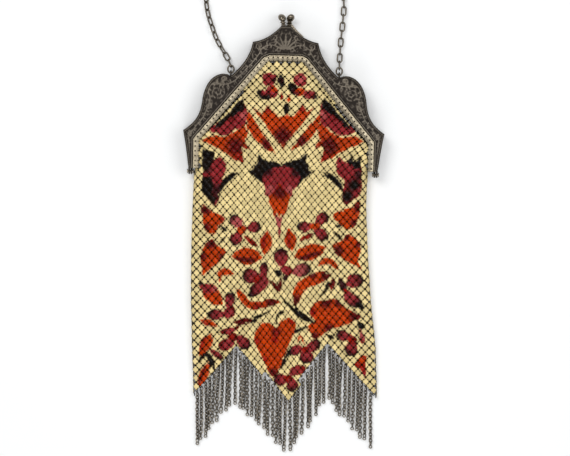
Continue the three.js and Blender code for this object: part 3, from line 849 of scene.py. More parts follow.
def hingePin(side):
    start = lugInner - seatGap - hinge["headThickness"]
    end = lugOuter + hinge["lugThickness"] + seatGap + hinge["headThickness"]
    head, dome = hinge["headThickness"], 0.25
    profile = [(0, start), (hinge["headRadius"] * 0.6, start + 0.03), (hinge["headRadius"], start + dome),
               (hinge["headRadius"], start + head), (hinge["pinRadius"], start + head),
               (hinge["pinRadius"], end - head), (hinge["headRadius"], end - head),
               (hinge["headRadius"], end - dome), (hinge["headRadius"] * 0.6, end - 0.03), (0, end)]
    points, faces = turnedToX(lathe(profile, hinge["sides"]), 0, -hinge["pinDrop"], frameMiddle)
    if side < 0:
        return points * [-1, 1, 1], [face[::-1] for face in faces]
    return points, faces


for side, label in ((1, "right"), (-1, "left")):
    makePiece("hinge_pin_" + label + "_domed", hingePin(side), metals["claspMetal"],
              ["hinge_pin_" + label])

knobShape = {
    "ballRadius": 2.2, "height": 4.9, "postRadius": 0.7, "collarRadius": 1.5, "headRadius": 1.2,
    "leanSide": 12, "leanIn": 22, "segments": 36, "frontAcross": -1.35, "backAcross": 1.45,
    "armHeight": 1.5, "armThickness": 0.7, "armLength": 9.5,
}
knobDepth = frameShape["halfDepth"] / 2 + frameShape["sheet"] / 4


def knob(across, z, leanSide, leanIn):
    under = -frameShape["sheet"] - seatGap
    radius, height = knobShape["ballRadius"], knobShape["height"]
    collar = knobShape["collarRadius"]
    foot = height - radius
    turns = np.radians(np.linspace(30, 180, 18))
    ball = [(radius * math.sin(t), height - radius * math.cos(t)) for t in turns[:-1]]
    ball.append((0, height + radius))
    head, post = knobShape["headRadius"], knobShape["postRadius"]
    profile = [(0, under - 0.5), (head, under - 0.5), (head, under), (post, under), (post, seatGap),
               (collar, seatGap + 0.15), (collar * 1.02, 0.85), (collar * 0.7, 1.1),
               (collar * 0.62, 1.5), (collar * 0.85, foot - 0.9),
               (collar, foot - 0.6), (collar, foot - 0.25), (collar * 0.72, foot)]
    points, faces = lathe(profile + ball, knobShape["segments"])
    free = np.maximum(points[:, 2] - seatGap, 0)
    side, inward = (math.tan(math.radians(a)) for a in (leanSide, leanIn))
    placed = np.column_stack((across + points[:, 0] + free * side, frameHeight + points[:, 2],
                              z + points[:, 1] + free * inward))
    return placed, [face[::-1] for face in faces]


def springArm(z):
    # A thin strip that rides just clear of the right slope, from the knob's foot
    slope = rightEdge[(rightEdge[:, 0] >= knobShape["backAcross"])
                      & (rightEdge[:, 0] <= knobShape["armLength"])
                      & (rightEdge[:, 1] > 0.9 * frameHeight)]
    near = offsetLine(slope, -seatGap)
    thickness = np.interp(np.arange(len(slope)), [0, len(slope) - 1], [knobShape["armHeight"], 0.7])
    far = slope + (offsetLine(slope, -1.0) - slope) * (seatGap + thickness)[:, None]
    half = knobShape["armThickness"] / 2
    rows = [np.column_stack((line, np.full(len(line), z + h)))
            for line, h in ((near, -half), (near, half), (far, half), (far, -half), (near, -half))]
    count = len(slope)
    faces = [face[::-1] for face in gridFaces(5, count)]
    faces += [[0, count, 2 * count, 3 * count], [4 * count - 1, 3 * count - 1, 2 * count - 1, count - 1]]
    return np.vstack(rows), faces


leans = np.array([knobShape["leanSide"], knobShape["leanIn"]])
backKnobHeight = frameShape["beadHeight"] + knobDepth
frontKnob = knob(knobShape["frontAcross"], plateTop - knobDepth, *-leans)
backKnob = joined([knob(knobShape["backAcross"], backKnobHeight, *leans), springArm(backKnobHeight)])
for side, part in (("front", frontKnob), ("back", backKnob)):
    makePiece(side + "_knob_turned", part, metals["claspMetal"], [side + "_knob"],
              smoothAngle=60)
print("frame and clasp built")


# The bag: rows of four-armed plates, joined by a small ring where four arms meet. Each of its
# sections has its place down as a share of the drop, its half width and shift as shares of the half
# width, and the heights of its back and front as shares of the mouth's.

bagShape = {
    "drop": 130.5, "halfWidth": 50.0, "mouthBack": 1.25, "mouthHeight": 8.3, "inset": 0.5,
    "sections": [
        (-0.5, 1.07, 0, 1, 1),
        (-0.12, 1.07, -0.01, 1, 1),
        (-0.02, 0.99, -0.02, 0.9, 0.98),
        (0.05, 0.98, -0.026, 0.35, 0.95),
        (0.15, 0.982, -0.032, 0, 0.89),
        (0.35, 1.0, -0.02, 0, 0.77),
        (0.56, 1.02, 0.008, 0, 0.64),
        (0.76, 1.042, 0.05, 0, 0.51),
        (0.9, 1.04, 0.07, 0, 0.43),
        (1.05, 1.04, 0.084, 0, 0.37),
    ],
    "foot": [(-0.955, 0.994), (-0.506, 0.776), (0.122, 0.995), (0.534, 0.755), (1.074, 0.974)],
    "waveHeight": 0.35,
    "waveCount": 2,
    "mouthGap": 3.4,
    "shoulder": 1.4,
    "tuck": 0.95,
    "tuckWidth": 2.3,
    "crowding": [(-0.5, -1.6), (-0.28, -0.6), (-0.1, 1.6), (1.05, 1.6)],
    "columns": 52,
    "firstRow": 59.05,
    "topPitch": 2.22,
    "pitchRows": (0, 26, 46),
    "footPitch": 2.37,
    "rows": 83,
}
sectionTable = dict(zip(("down", "half", "shift", "back", "front"), np.array(bagShape["sections"]).T))
footLinePoints = np.array(bagShape["foot"]) * [bagShape["halfWidth"], -bagShape["drop"]]


def bagSurface(turnShare, y):
    # A place on the bag: the share of the way round from the middle of the front, and the height
    down = -y / bagShape["drop"]
    row = {key: np.interp(down, sectionTable["down"], sectionTable[key]) for key in sectionTable}
    foot = bagShape["mouthBack"] * row["back"]
    low = foot + bagShape["inset"]
    high = foot + bagShape["mouthHeight"] * row["front"] - bagShape["inset"]
    radius = (high - low) / 2
    reach = row["half"] * bagShape["halfWidth"] - bagShape["inset"] - radius
    centre = row["shift"] * bagShape["halfWidth"]
    girth = 4 * reach + 2 * math.pi * radius
    run = (np.mod(turnShare + 0.5, 1) - 0.5) * girth
    # Plates lie closer in the middle of the body than at its sides, and the reverse at the top
    crowd = np.interp(down, *np.array(bagShape["crowding"]).T)
    far = np.abs(run) - crowd * np.sin(4 * math.pi * np.abs(run) / girth)
    side = np.sign(run)
    fold = np.clip((far - reach) / radius, 0, math.pi)
    back = np.maximum(far - reach - math.pi * radius, 0)
    x = centre + side * (np.minimum(far, reach) + radius * np.sin(fold) - back)
    z = low + radius + radius * np.cos(fold)
    fade = np.cos(np.pi * np.clip((x - centre) / (2 * reach), -0.5, 0.5)) * np.clip(down * 4, 0, 1)
    wave = bagShape["waveHeight"] * fade * np.sin(bagShape["waveCount"] * math.pi * (x - centre) / reach)
    return np.stack((x, y, z + wave * (fold == 0)), axis=-1)


def rowHeight(row):
    # Rows lie a little closer in the mouth than in the body
    run = np.arange(0, bagShape["rows"] * 2 + 8)
    top, foot = bagShape["topPitch"], bagShape["footPitch"]
    pitch = np.interp(run, bagShape["pitchRows"], [top, top, foot])
    heights = bagShape["firstRow"] - np.concatenate(([0], np.cumsum(pitch)[:-1]))
    return np.interp(row, run, heights)


def lattice(column, row):
    return bagSurface(np.asarray(column) / (2 * bagShape["columns"]), rowHeight(row))


def footHeight(x):
    return np.interp(x, footLinePoints[:, 0], footLinePoints[:, 1])


def insideMouth(points, halfStep, tip, waist):
    # How far a plate or ring at each place stays inside the mouth's outline
    depth = np.full(len(points), np.inf)
    arms = np.array([[tip, 0], [waist, waist], [0, tip]]) * halfStep
    for start, end in zip(railLine, railLine[1:]):
        step = (end - start) / np.linalg.norm(end - start)
        normal = np.array([step[1], -step[0]])
        reach = np.max(arms @ np.abs(normal)) + bagShape["mouthGap"]
        depth = np.minimum(depth, (points - start) @ normal - reach)
    return depth


plateShape = {
    "spanAcross": 2.05, "spanUp": 2.26, "tip": 0.785, "tipHalf": 0.18, "shoulder": (0.645, 0.325),
    "waist": (0.35, 0.35), "dome": 0.24, "edge": 0.14, "tipDrop": -0.04, "hubRadius": 0.3,
    "hubDrop": 0.04, "armTip": 0.98, "armHalf": 0.22, "armWaist": 0.49, "armDrop": 0.46,
    "tilt": 0.035, "lift": 0.04, "twist": 0.03, "overlap": 1.35, "stretch": 0.5,
    "liftLimit": 0.1, "tiltSpan": 2.1, "footMargin": 0.15, "restHeight": 0.03, "printWander": 0.22,
}


def plateTemplate():
    # Points as (across, up, height), with across and up in half steps of the lattice
    tip, half = plateShape["tip"], plateShape["tipHalf"]
    shoulder, waist = plateShape["shoulder"], plateShape["waist"]
    outline = []
    for cos, sin in ((1, 0), (0, 1), (-1, 0), (0, -1)):
        for u, v, height in ((tip, -half, "tipDrop"), (tip, half, "tipDrop"), (*shoulder, "edge"),
                             (*waist, "edge"), (shoulder[1], shoulder[0], "edge")):
            outline.append((u * cos - v * sin, u * sin + v * cos, plateShape[height]))
    outline = np.array(outline)
    count, hubSides = len(outline), 8
    turns = 2 * math.pi * (np.arange(hubSides) + 0.5) / hubSides
    radius, rise = plateShape["hubRadius"], plateShape["dome"] - plateShape["hubDrop"]
    hub = np.column_stack((radius * np.cos(turns), radius * np.sin(turns), np.full(hubSides, rise)))
    # The arms bend back under the plate and round the rings, which closes the gaps from behind with dark
    # bare metal that paints the shade in them
    below = outline.copy()
    below[:, 2] = -plateShape["armDrop"]
    for k, (u, v, _) in enumerate(outline):
        if k % 5 < 2:
            far = np.abs([u, v]) == max(abs(u), abs(v))
            below[k, :2] *= np.where(far, plateShape["armTip"] / tip, plateShape["armHalf"] / half)
        elif k % 5 == 3:
            below[k, :2] *= plateShape["armWaist"] / waist[0]
    points = np.vstack(([[0, 0, plateShape["dome"]]], hub, outline, below))
    faces = [[0, 1 + k, 1 + (k + 1) % hubSides] for k in range(hubSides)]
    order = np.arctan2(outline[:, 1], outline[:, 0])
    nearest = np.argmin(np.abs(np.angle(np.exp(1j * (order[:, None] - turns[None])))), axis=1)
    face, back = 1 + hubSides, 1 + hubSides + count
    for k in range(count):
        n = (k + 1) % count
        faces.append([1 + nearest[k], face + k, face + n])
        if nearest[k] != nearest[n]:
            faces.append([1 + nearest[k], face + n, 1 + nearest[n]])
    faces += [[face + k, back + k, back + (k + 1) % count, face + (k + 1) % count] for k in range(count)]
    faces.append([back + k for k in range(count - 1, -1, -1)])
    # How near each point is to the worn rim; the points under the plate count as worn through, so they
    # show the dark metal that paints the shade in the gaps
    rim = np.concatenate(([0.0], np.full(hubSides, 0.1), np.where(outline[:, 2] < 0, 0.7, 0.58),
                          np.full(count, 1.5)))
    return points, faces, rim


def latticeSites(parity):
    # The columns and rows of the plates (0) or of the rings (1), for the front and for the back
    sides = {"front": [], "back": []}
    half = bagShape["columns"] // 2
    for row in range(bagShape["rows"]):
        for column in range(-half, 3 * half):
            if (column + row) % 2 == parity:
                sides["front" if column <= half else "back"].append((column, row))
    return {side: np.array(sites) for side, sites in sides.items()}


def keptSites(sites, tip, waist, slack):
    # The sites whose plate or ring fits inside the mouth's outline and above the foot
    places = lattice(sites[:, 0], sites[:, 1])
    halfStep = np.array([plateShape["spanAcross"], plateShape["spanUp"]])
    y = places[:, 1]
    reach = tip * bagShape["footPitch"]
    inMouth = insideMouth(places[:, :2], halfStep, tip, waist) > -slack
    belowMouth = y < bagShape["shoulder"] - reach
    aboveFoot = y - footHeight(places[:, 0]) > reach + plateShape["footMargin"]
    return sites[(inMouth | belowMouth) & aboveFoot]


def latticeFrames(sites):
    # The place of each site with its two steps to the neighbouring sites, and its normal
    column, row = sites.astype(float).T
    centre = lattice(column, row)
    across = (lattice(column + 1, row) - lattice(column - 1, row)) / 2
    rowsUp = np.where(row > 0, 2, 1)[:, None]
    up = (lattice(column, np.maximum(row - 1, 0)) - lattice(column, row + 1)) / rowsUp
    normal = np.cross(across, up)
    normal /= np.linalg.norm(normal, axis=1)[:, None]
    # Plates keep about their own size where the mesh is pulled apart or pushed together
    for steps, span in ((across, plateShape["spanAcross"]), (up, plateShape["spanUp"])):
        length = np.linalg.norm(steps, axis=1)[:, None]
        steps *= (span / length) ** (1 - plateShape["stretch"])
    # The edge of the mouth tucks under the rails
    edge = insideMouth(centre[:, :2], np.zeros(2), 0, 0)
    tuck = (bagShape["tuck"] * (1 - rounded(-0.6, bagShape["tuckWidth"], edge))
            * rounded(-3, 0, centre[:, 1]))
    return centre - tuck[:, None] * normal, across, up, normal


def plates(sites):
    template, faces, rim = plateTemplate()
    centre, across, up, normal = latticeFrames(sites)
    count, size = len(sites), len(template)
    tiltU, tiltV, twist = (rng.normal(0, plateShape[key], count)[:, None]
                           for key in ("tilt", "tilt", "twist"))
    limit = plateShape["liftLimit"]
    lift = rng.normal(0, plateShape["lift"], count).clip(-limit, limit)[:, None]
    u, v, height = template.T
    height = height + lift + plateShape["tiltSpan"] * (tiltU * u + tiltV * v)
    points = (centre[:, None] + (u - twist * v)[..., None] * across[:, None]
              + (v + twist * u)[..., None] * up[:, None] + height[..., None] * normal[:, None])
    points[..., 2] = points[..., 2].clip(plateShape["restHeight"])
    allFaces = [[number * size + i for i in face] for number in range(count) for face in faces]
    cell = np.repeat(rng.random(count), size)
    return points.reshape(-1, 3), allFaces, np.tile(rim, count), cell


ringShape = {
    "radius": 0.66, "wire": 0.18, "around": 9, "sides": 4, "sink": 0.42, "lean": 0.12,
    "fit": (0.35, 0.2, 0.9),
}


def linkRings(sites):
    centre, across, up, normal = latticeFrames(sites)
    rings = []
    across /= np.linalg.norm(across, axis=1)[:, None]
    tilt = rng.normal(0, ringShape["lean"], (len(sites), 2))
    for at, first, axis, lean in zip(centre - ringShape["sink"] * normal, across, normal, tilt):
        axis = axis + lean[0] * first + lean[1] * np.cross(axis, first)
        axis /= np.linalg.norm(axis)
        first = first - axis * (first @ axis)
        second = np.cross(axis, first)
        rings.append(wireLoop(circle(at, ringShape["radius"], first, second, ringShape["around"]),
                              axis, ringShape["wire"], ringShape["sides"]))
    return joined(rings)


# The print on the plates, drawn in millimetres across from the middle and down from the
# hinge line, in the order of printing. A shape has a colour, a sharp or curved edge, its outline, and
# soft spots of other colours with their middle and radius.

printColours = {
    "cream": (230, 207, 146), "orange": (186, 56, 2), "red": (142, 18, 5), "darkRed": (88, 5, 6),
    "rose": (138, 33, 38), "paleRose": (172, 76, 74), "black": (9, 7, 7), "plum": (52, 10, 17),
}

wing = [
    ("rose", "curve", [(-21.1, -34), (-20.6, -29), (-22.3, -24.5), (-26.7, -22.2), (-32.4, -18.8),
     (-38.3, -19.4), (-41.3, -21.9), (-37, -25.7), (-29, -32), (-23, -37)],
     [(-22.5, -30, 3, "paleRose"), (-30, -29, 3.4, "darkRed")]),
    ("black", "sharp", [(-23.4, -40.2), (-22.2, -36.2), (-22.5, -33.3), (-26.9, -31), (-31.2, -28.1),
     (-34.8, -23.6), (-38.8, -22), (-37, -25.7), (-32.6, -29.8), (-29.1, -33.9), (-26.3, -37.2)], []),
    ("orange", "sharp", [(-46.3, -15.6), (-41.2, -18.4), (-33.9, -17.7), (-27.3, -20.7), (-21.6, -26),
     (-20, -21.7), (-21.4, -16.5), (-18.4, -10.7), (-23.9, -12.4), (-21.9, -3.3), (-27.8, -5.4),
     (-32.2, -8.9), (-39.7, -12.8)],
     [(-26.5, -12.5, 7.5, "darkRed"), (-24, -6, 4.5, "red"), (-19.4, -11, 2.5, "red")]),
]


def mirrored(shapes, dx, dy):
    return [(colour, edge, [(dx - x, dy + y) for x, y in line],
             [(dx - x, dy + y, radius, spotColour) for x, y, radius, spotColour in spots])
            for colour, edge, line, spots in shapes]


upperShapes = wing + mirrored(wing, -1.2, -1.2) + [
    ("orange", "sharp", [(-17.8, -34.8), (-12.2, -31), (-9.8, -36.5), (-5.7, -32.3), (-2.7, -29.4),
     (1.4, -31), (5.4, -29.9), (7.5, -32.5), (9.6, -37.3), (13, -33), (17.7, -36.4), (-0.4, -11.5)],
     [(-0.3, -18.4, 7.5, "darkRed"), (-9.8, -35, 4, "red"), (9.4, -35.4, 4, "red"),
      (-17, -34, 4, "red"), (17, -35.4, 4, "red")]),
    ("orange", "sharp", [(-20.7, -32.6), (-17.3, -29), (-11.2, -19.7), (-6.7, -14), (-4.1, -9.3),
     (-10.4, -11.6), (-17.1, -17.4), (-20.1, -23.1), (-21, -29)],
     [(-9.7, -14.2, 5, "darkRed")]),
    ("orange", "sharp", [(19.9, -31.6), (15, -26), (10, -20.1), (4, -11.1), (10.1, -13.8),
     (15.9, -18.7), (19.4, -23.9), (20.4, -29.1)],
     [(9.6, -16.6, 4.6, "darkRed")]),
    ("black", "sharp", [(-20, 1), (-16.5, 0), (-16.8, -2.4), (-14.6, -3), (-13.6, -8.6), (-10.5, -5.4),
     (-6.5, -5.2), (-3, -4.2), (-0.6, -2.6), (2, -4.4), (6, -6), (9.5, -6.2), (13.6, -9.8),
     (12.6, -4.6), (14.4, -2.6), (14, -0.4), (17.6, 0.2), (11.5, 5.4), (8.4, 9.5), (-9.5, 9.5),
     (-13, 6.6), (-16.5, 4)], []),
    ("rose", "curve", [(-11.4, 3.6), (-9, 0.8), (-4.5, -1.2), (0, -1.8), (4.6, -1.2), (8.6, 1.2),
     (9.8, 4), (8.2, 8.4), (5.6, 11.6), (4.4, 15), (-8.6, 15), (-9.8, 11.8), (-10.8, 8.4)],
     [(-8.6, 1.4, 4, "plum"), (7.4, 1, 4, "plum"), (-7.5, 11.5, 4, "paleRose"),
      (4, 11, 3, "paleRose")]),
    ("orange", "curve", [(-1.5, 7.4), (1.4, 11.4), (3.6, 14.4), (3.8, 18), (2.4, 22.6), (0.6, 25.4),
     (-0.6, 24.4), (-1.6, 26.4), (-2.8, 24), (-4.6, 26), (-5.4, 22.6), (-7.4, 18), (-7.2, 14.2),
     (-4.6, 11.6)],
     [(-1.5, 12.4, 6, "darkRed")]),
    ("rose", "curve", [(-4.4, 23.6), (-1.6, 26.4), (1.2, 23.6), (-0.2, 30), (-1.4, 38.4), (-2.8, 31)],
     [(-1.4, 30, 6, "paleRose")]),
    ("rose", "curve", [(-44.7, -2.9), (-39.5, -4.6), (-35.1, -6.4), (-32, -3.1), (-32.5, 2),
     (-34.2, 7.9), (-34.8, 12.4), (-35.6, 16.9), (-38.1, 21.6), (-42.8, 16.2), (-45.4, 12.6),
     (-45.1, 3.8)],
     [(-36, 13, 6, "plum"), (-43, 0, 4, "plum")]),
    ("black", "sharp", [(-45.7, -10.9), (-42.2, -10.2), (-38.2, -9.4), (-38.9, -4.5), (-42, 0.3),
     (-45.4, 1.5)], []),
    ("black", "sharp", [(-45.5, 5.2), (-40.1, 4.4), (-38.2, 9.4), (-39.8, 14.6), (-37, 16.8),
     (-38.1, 21.9), (-42.8, 16.2), (-45.8, 12.6)], []),
    ("black", "curve", [(-24.5, 1.9), (-29.1, 2.5), (-32.8, 5.2), (-35.6, 9.4), (-34.9, 13.4),
     (-32.2, 9.6), (-28.4, 5.4)], []),
    ("rose", "curve", [(31.3, -7.9), (34.4, -5.5), (38, -5), (44, -3), (44.4, 6), (44, 12), (40, 16),
     (35.4, 18.8), (33.4, 14), (34.8, 6), (31.2, 2.3), (29.2, -2.4)],
     [(36.4, 14, 5, "black"), (43, 2, 4, "plum"), (40, 7.6, 5, "black")]),
    ("black", "sharp", [(38.2, -10.4), (40.4, -5.5), (43.6, -9), (43.9, -1.6), (40, -1.2),
     (36.4, -5.2)], []),
    ("black", "sharp", [(22.1, 0.2), (26.6, 1.4), (30.3, 3.5), (33.6, 7.3), (34.8, 12), (31.6, 9),
     (26.8, 5.4)], []),
    ("rose", "sharp", [(-12.6, -53.8), (-8, -54.4), (-4.8, -53.6), (-4.2, -50.2), (-7, -47),
     (-11, -47.6), (-12.8, -50)],
     [(-5.4, -50, 3, "plum")]),
    ("rose", "curve", [(-10, -46.2), (-6.4, -47.4), (-3.6, -44.4), (-4.4, -41), (-8, -39.8),
     (-10.6, -42)],
     [(-5.8, -45.6, 2.6, "orange")]),
    ("black", "curve", [(-15.6, -43.8), (-12, -44.6), (-8.2, -42), (-8.6, -39.4), (-12.8, -39.4)],
     [(-11.4, -43.2, 2.2, "rose")]),
    ("black", "curve", [(-2, -54), (-0.2, -50.4), (-0.8, -46.6), (-2.4, -45.6), (-3.9, -48.6),
     (-3.6, -52)],
     [(-2, -50, 1.6, "plum")]),
    ("rose", "curve", [(5, -53.2), (9.4, -54.6), (12.4, -51.6), (12, -48.2), (8.4, -46.6),
     (4.6, -49.4)],
     [(8.8, -51, 3, "paleRose")]),
    ("black", "curve", [(1.8, -48.2), (5, -48.6), (7.6, -45), (6.4, -42), (3.6, -42.6), (2, -45.2)],
     [(5.4, -44, 2, "plum")]),
    ("orange", "curve", [(6.8, -46), (10.6, -46), (11.6, -43.4), (9, -41), (6.2, -42.2)],
     [(7, -42.6, 2.4, "darkRed")]),
    ("rose", "curve", [(10.6, -43.6), (14, -45), (18.2, -43), (18.4, -40.6), (14.4, -39.6),
     (11.4, -40.6)],
     [(17.6, -41.6, 2.4, "black")]),
    ("black", "curve", [(1.4, -37.4), (3.2, -34.6), (2, -31.6), (0.2, -31.4), (-0.6, -34.6)], []),
    ("red", "curve", [(-1.6, -43), (-0.6, -41), (-1.2, -38.8), (-2.4, -40.4)], []),
    ("orange", "curve", [(2.6, -42), (3.6, -39.6), (2, -38.2), (1, -39.6)], []),
]

leafShapes = [
    ("orange", "curve", [(-45.2, 20.3), (-41.1, 22.8), (-36, 25.3), (-32.1, 27.4), (-32.9, 30.3),
     (-35.9, 31.8), (-36.5, 34.8), (-39.7, 36.8), (-43.1, 34.2), (-44.6, 28.7)],
     [(-43.6, 23.4, 4, "darkRed"), (-42.6, 33, 3.6, "darkRed"), (-33.4, 28.4, 2, "red")]),
    ("orange", "curve", [(42.6, 16.5), (44.1, 18.8), (43.3, 24), (42.5, 28.3), (39.6, 31.7), (36, 32.5),
     (33.5, 30), (29.7, 27.2), (28.6, 24.6), (33.2, 22), (38.7, 20.4), (40.8, 17.7)],
     [(42.6, 20, 4, "darkRed"), (41, 29, 3.6, "darkRed")]),
    ("orange", "curve", [(-39.3, 39.2), (-36.3, 42.9), (-31.5, 45.3), (-31.8, 49), (-35.7, 53.4),
     (-39.6, 56.4), (-44, 60.3), (-44.5, 55), (-45.3, 48.5), (-43.2, 43.3)],
     [(-39.6, 42, 4.2, "darkRed"), (-44.2, 49, 3.6, "darkRed"), (-33, 50.4, 3.4, "darkRed")]),
    ("orange", "curve", [(36.4, 35.4), (41.2, 37.1), (44.8, 41.5), (44.2, 46.6), (43.2, 50.3),
     (45.3, 54.5), (40, 51.9), (34.8, 49), (30.8, 46.6), (28.7, 43.7), (29.5, 40.7), (33.9, 38.8)],
     [(31.6, 44.6, 4.4, "darkRed"), (43.4, 41, 3, "darkRed"), (36.4, 36.6, 2.6, "darkRed")]),
    ("orange", "curve", [(-45.8, 63.3), (-41.7, 64.6), (-36.9, 65.3), (-34.3, 68.7), (-32.4, 73.1),
     (-32.7, 76.7), (-38.2, 76), (-42.3, 72.6), (-44.6, 68.2)],
     [(-41.4, 66.6, 5.4, "rose"), (-45, 64.2, 2.6, "black"), (-36.4, 67, 2.4, "paleRose")]),
    ("orange", "curve", [(7.6, 75.2), (6.6, 71.6), (8.1, 65.7), (12.1, 61.2), (17.5, 57.6),
     (23.3, 56.4), (27.9, 58.1), (24.9, 61.7), (19.8, 64), (14, 67), (11.5, 71.5), (9.4, 75.5)],
     [(25.4, 58.6, 4.4, "darkRed"), (18, 58.4, 3, "darkRed"), (8.4, 73.4, 5, "darkRed")]),
    ("orange", "curve", [(-24.1, 67.1), (-20.3, 70.6), (-16.6, 74.1), (-10.7, 73.7), (-5.7, 72.3),
     (0.1, 74.5), (-4.8, 76.6), (-10.7, 78.1), (-16.6, 78.2), (-20.9, 75.8), (-23.6, 71.8)],
     [(-5, 75, 5, "darkRed"), (-12.6, 77.4, 3.4, "red")]),
    ("orange", "curve", [(20, 73.9), (25.8, 72.5), (30.9, 71.7), (35.1, 74.7), (39.8, 78.2),
     (45.6, 81.1), (40.7, 84.9), (34.9, 87.3), (29.1, 88.7), (24.7, 91.7), (20.4, 94.7), (17.3, 91.4),
     (16.2, 87.1), (20.1, 84.1), (17.2, 81.2), (17.1, 77.2)],
     [(25.6, 73.6, 4.6, "darkRed"), (33, 73.6, 3.6, "darkRed"), (42.6, 81.4, 5, "darkRed"),
      (28, 88.6, 4, "darkRed"), (19.6, 93, 3, "darkRed"), (18, 79, 3, "red")]),
    ("orange", "curve", [(-8.3, 85.7), (-4.6, 86.7), (-1.8, 89.3), (0.5, 85.2), (4.9, 82.8),
     (8.5, 84.7), (8.6, 89.8), (6.2, 96.5), (3, 103.9), (1, 109.4), (-1.1, 114.9), (-3.5, 116.5),
     (-5.5, 114.2), (-8.6, 107.8), (-11.7, 101.2), (-14.5, 95.8), (-13.3, 90.7), (-10.9, 86.9)],
     [(-2, 91, 3.8, "darkRed"), (-2.6, 95.4, 2.6, "red"), (-13, 96, 2.4, "red"),
      (-3.4, 114, 4, "darkRed"), (-8, 107, 2.4, "red"), (6.6, 84.8, 2.4, "red")]),
    ("red", "sharp", [(42, 108.5), (46.2, 103.3), (49.2, 103.6), (49.3, 110.2), (48.8, 116.5),
     (46.4, 112.4)],
     [(46.6, 106, 2.6, "orange"), (48, 114.6, 3, "rose")]),
]

# Petals and dabs: their middle, half length, half width, turn in degrees (0 points right and 90
# points to the foot), and the colours at the near and the far end
petalShapes = [
    (-25.6, 29.4, 3.9, 3.3, -140, "paleRose", "plum"), (-15.6, 32.1, 3.9, 3.2, -10, "rose", "black"),
    (-25.4, 38.5, 4.1, 3.3, 120, "rose", "black"), (-22.2, 34.1, 2.5, 2.3, 0, "orange", "red"),
    (-17.2, 40.2, 4.2, 1.3, 38, "red", "darkRed"), (22.3, 26.9, 4, 3.2, -30, "rose", "black"),
    (12.8, 31.5, 3.9, 3.1, 175, "rose", "black"), (22.4, 35.7, 4, 3.2, 35, "rose", "black"),
    (18.7, 31, 3, 2.1, -10, "orange", "orange"), (13.9, 37.3, 3.9, 1.4, -30, "red", "darkRed"),
    (-33, 33.5, 2.6, 1, 40, "black", "black"), (-33, 40, 2.4, 0.9, -55, "black", "black"),
    (31.6, 36.2, 3, 0.9, 40, "black", "black"), (32, 30.6, 1.6, 0.8, -20, "black", "black"),
    (0, 49, 4.6, 4.2, -100, "rose", "plum"), (11.6, 55.8, 5, 3.6, -14, "paleRose", "black"),
    (3.2, 56.3, 3.2, 2.8, 20, "rose", "red"), (-1.6, 57.8, 2.2, 1.6, 30, "black", "black"),
    (2.4, 60.4, 1.8, 1.4, 100, "plum", "black"), (-17, 59.7, 4.4, 4.2, 180, "rose", "plum"),
    (-9.6, 58, 5.8, 2.5, -84, "rose", "plum"), (-12.4, 66.1, 6.4, 3.2, 140, "rose", "black"),
    (-13.2, 61.6, 2.2, 2, 0, "red", "darkRed"), (-3.4, 65.2, 3.8, 1.2, 50, "darkRed", "darkRed"),
    (-0.6, 65, 3.4, 1.2, 100, "darkRed", "darkRed"), (41.3, 61.3, 4.6, 3.9, -28, "rose", "black"),
    (34.9, 64.4, 4, 2, 70, "plum", "plum"), (37.4, 68.8, 3, 2.2, 60, "red", "darkRed"),
    (40.6, 72, 5, 3.4, 35, "rose", "plum"), (45, 75.4, 2.4, 1.6, 35, "black", "black"),
    (29, 63.4, 3.2, 1.2, 100, "darkRed", "red"), (-28.4, 73.4, 4.2, 2.9, -80, "rose", "black"),
    (-36.2, 82, 4.8, 2.9, 178, "rose", "black"), (-28.5, 80.6, 3.6, 3, -60, "rose", "darkRed"),
    (-20.7, 85.3, 5, 1.7, -8, "darkRed", "darkRed"), (-23.6, 88.4, 3, 1.2, 130, "darkRed", "red"),
    (-30, 98.7, 4.5, 3.2, 160, "rose", "darkRed"), (-20.5, 97, 4.2, 3.6, 50, "rose", "plum"),
    (-28.7, 91, 4.4, 2, 170, "rose", "darkRed"), (-26.2, 94.4, 2.6, 2.2, 0, "red", "darkRed"),
    (-35, 104.4, 4.4, 1.9, 38, "rose", "black"), (1.2, 117.8, 4, 3.2, 160, "rose", "plum"),
    (10.5, 112.5, 4.4, 3, -20, "rose", "red"), (7.5, 120.7, 4, 3.2, 70, "rose", "black"),
    (5.4, 116.8, 2.4, 2, 0, "red", "darkRed"), (9.2, 100.8, 3.8, 3, 150, "rose", "plum"),
    (19.1, 98.4, 4.3, 3.2, -30, "rose", "black"), (15.2, 104.3, 4.3, 3.6, 90, "rose", "plum"),
    (14.6, 100.4, 2.2, 1.8, 0, "red", "darkRed"), (5, 103, 3, 1.2, 120, "black", "black"),
    (2.4, 108.6, 3.4, 1.1, 112, "black", "black"), (36.2, 92.1, 4.2, 2.8, 190, "rose", "black"),
    (40.3, 99.4, 4.2, 3.8, 100, "rose", "plum"), (45.6, 86.4, 2.4, 1.6, 40, "black", "black"),
    (46.2, 92.7, 4, 1.4, 80, "paleRose", "red"), (41, 94.6, 2.6, 2, 0, "red", "darkRed"),
    (28.5, 93.3, 2, 1, 20, "black", "black"),
]

petalLook = {
    "growth": 1.13, "nearWidth": 0.92, "taper": 0.22, "point": 0.12, "rim": 0.85, "vein": 0.35,
    "veinAside": 0.3,
}

# Pointed leaves, in the same way, with one colour and a second for the band along one side
leafBlades = [
    (-8.6, 40.8, 7, 3.5, 94, "orange", "red", 0.45), (5, 39.1, 6.6, 3.2, 78, "orange", "red", 0.3),
    (-19.2, 48.8, 9, 4.8, 2, "orange", "darkRed", 0.4),
    (16.2, 45.8, 9.8, 4.5, -18, "orange", "darkRed", 0.4),
    (-40, 86.8, 5.6, 1.9, 20, "orange", "red", 0.5), (-41.4, 99, 7.4, 3.2, 117, "orange", "red", 0.6),
    (-42.3, 116.6, 8.2, 2.7, 106, "orange", "darkRed", 0.3),
]

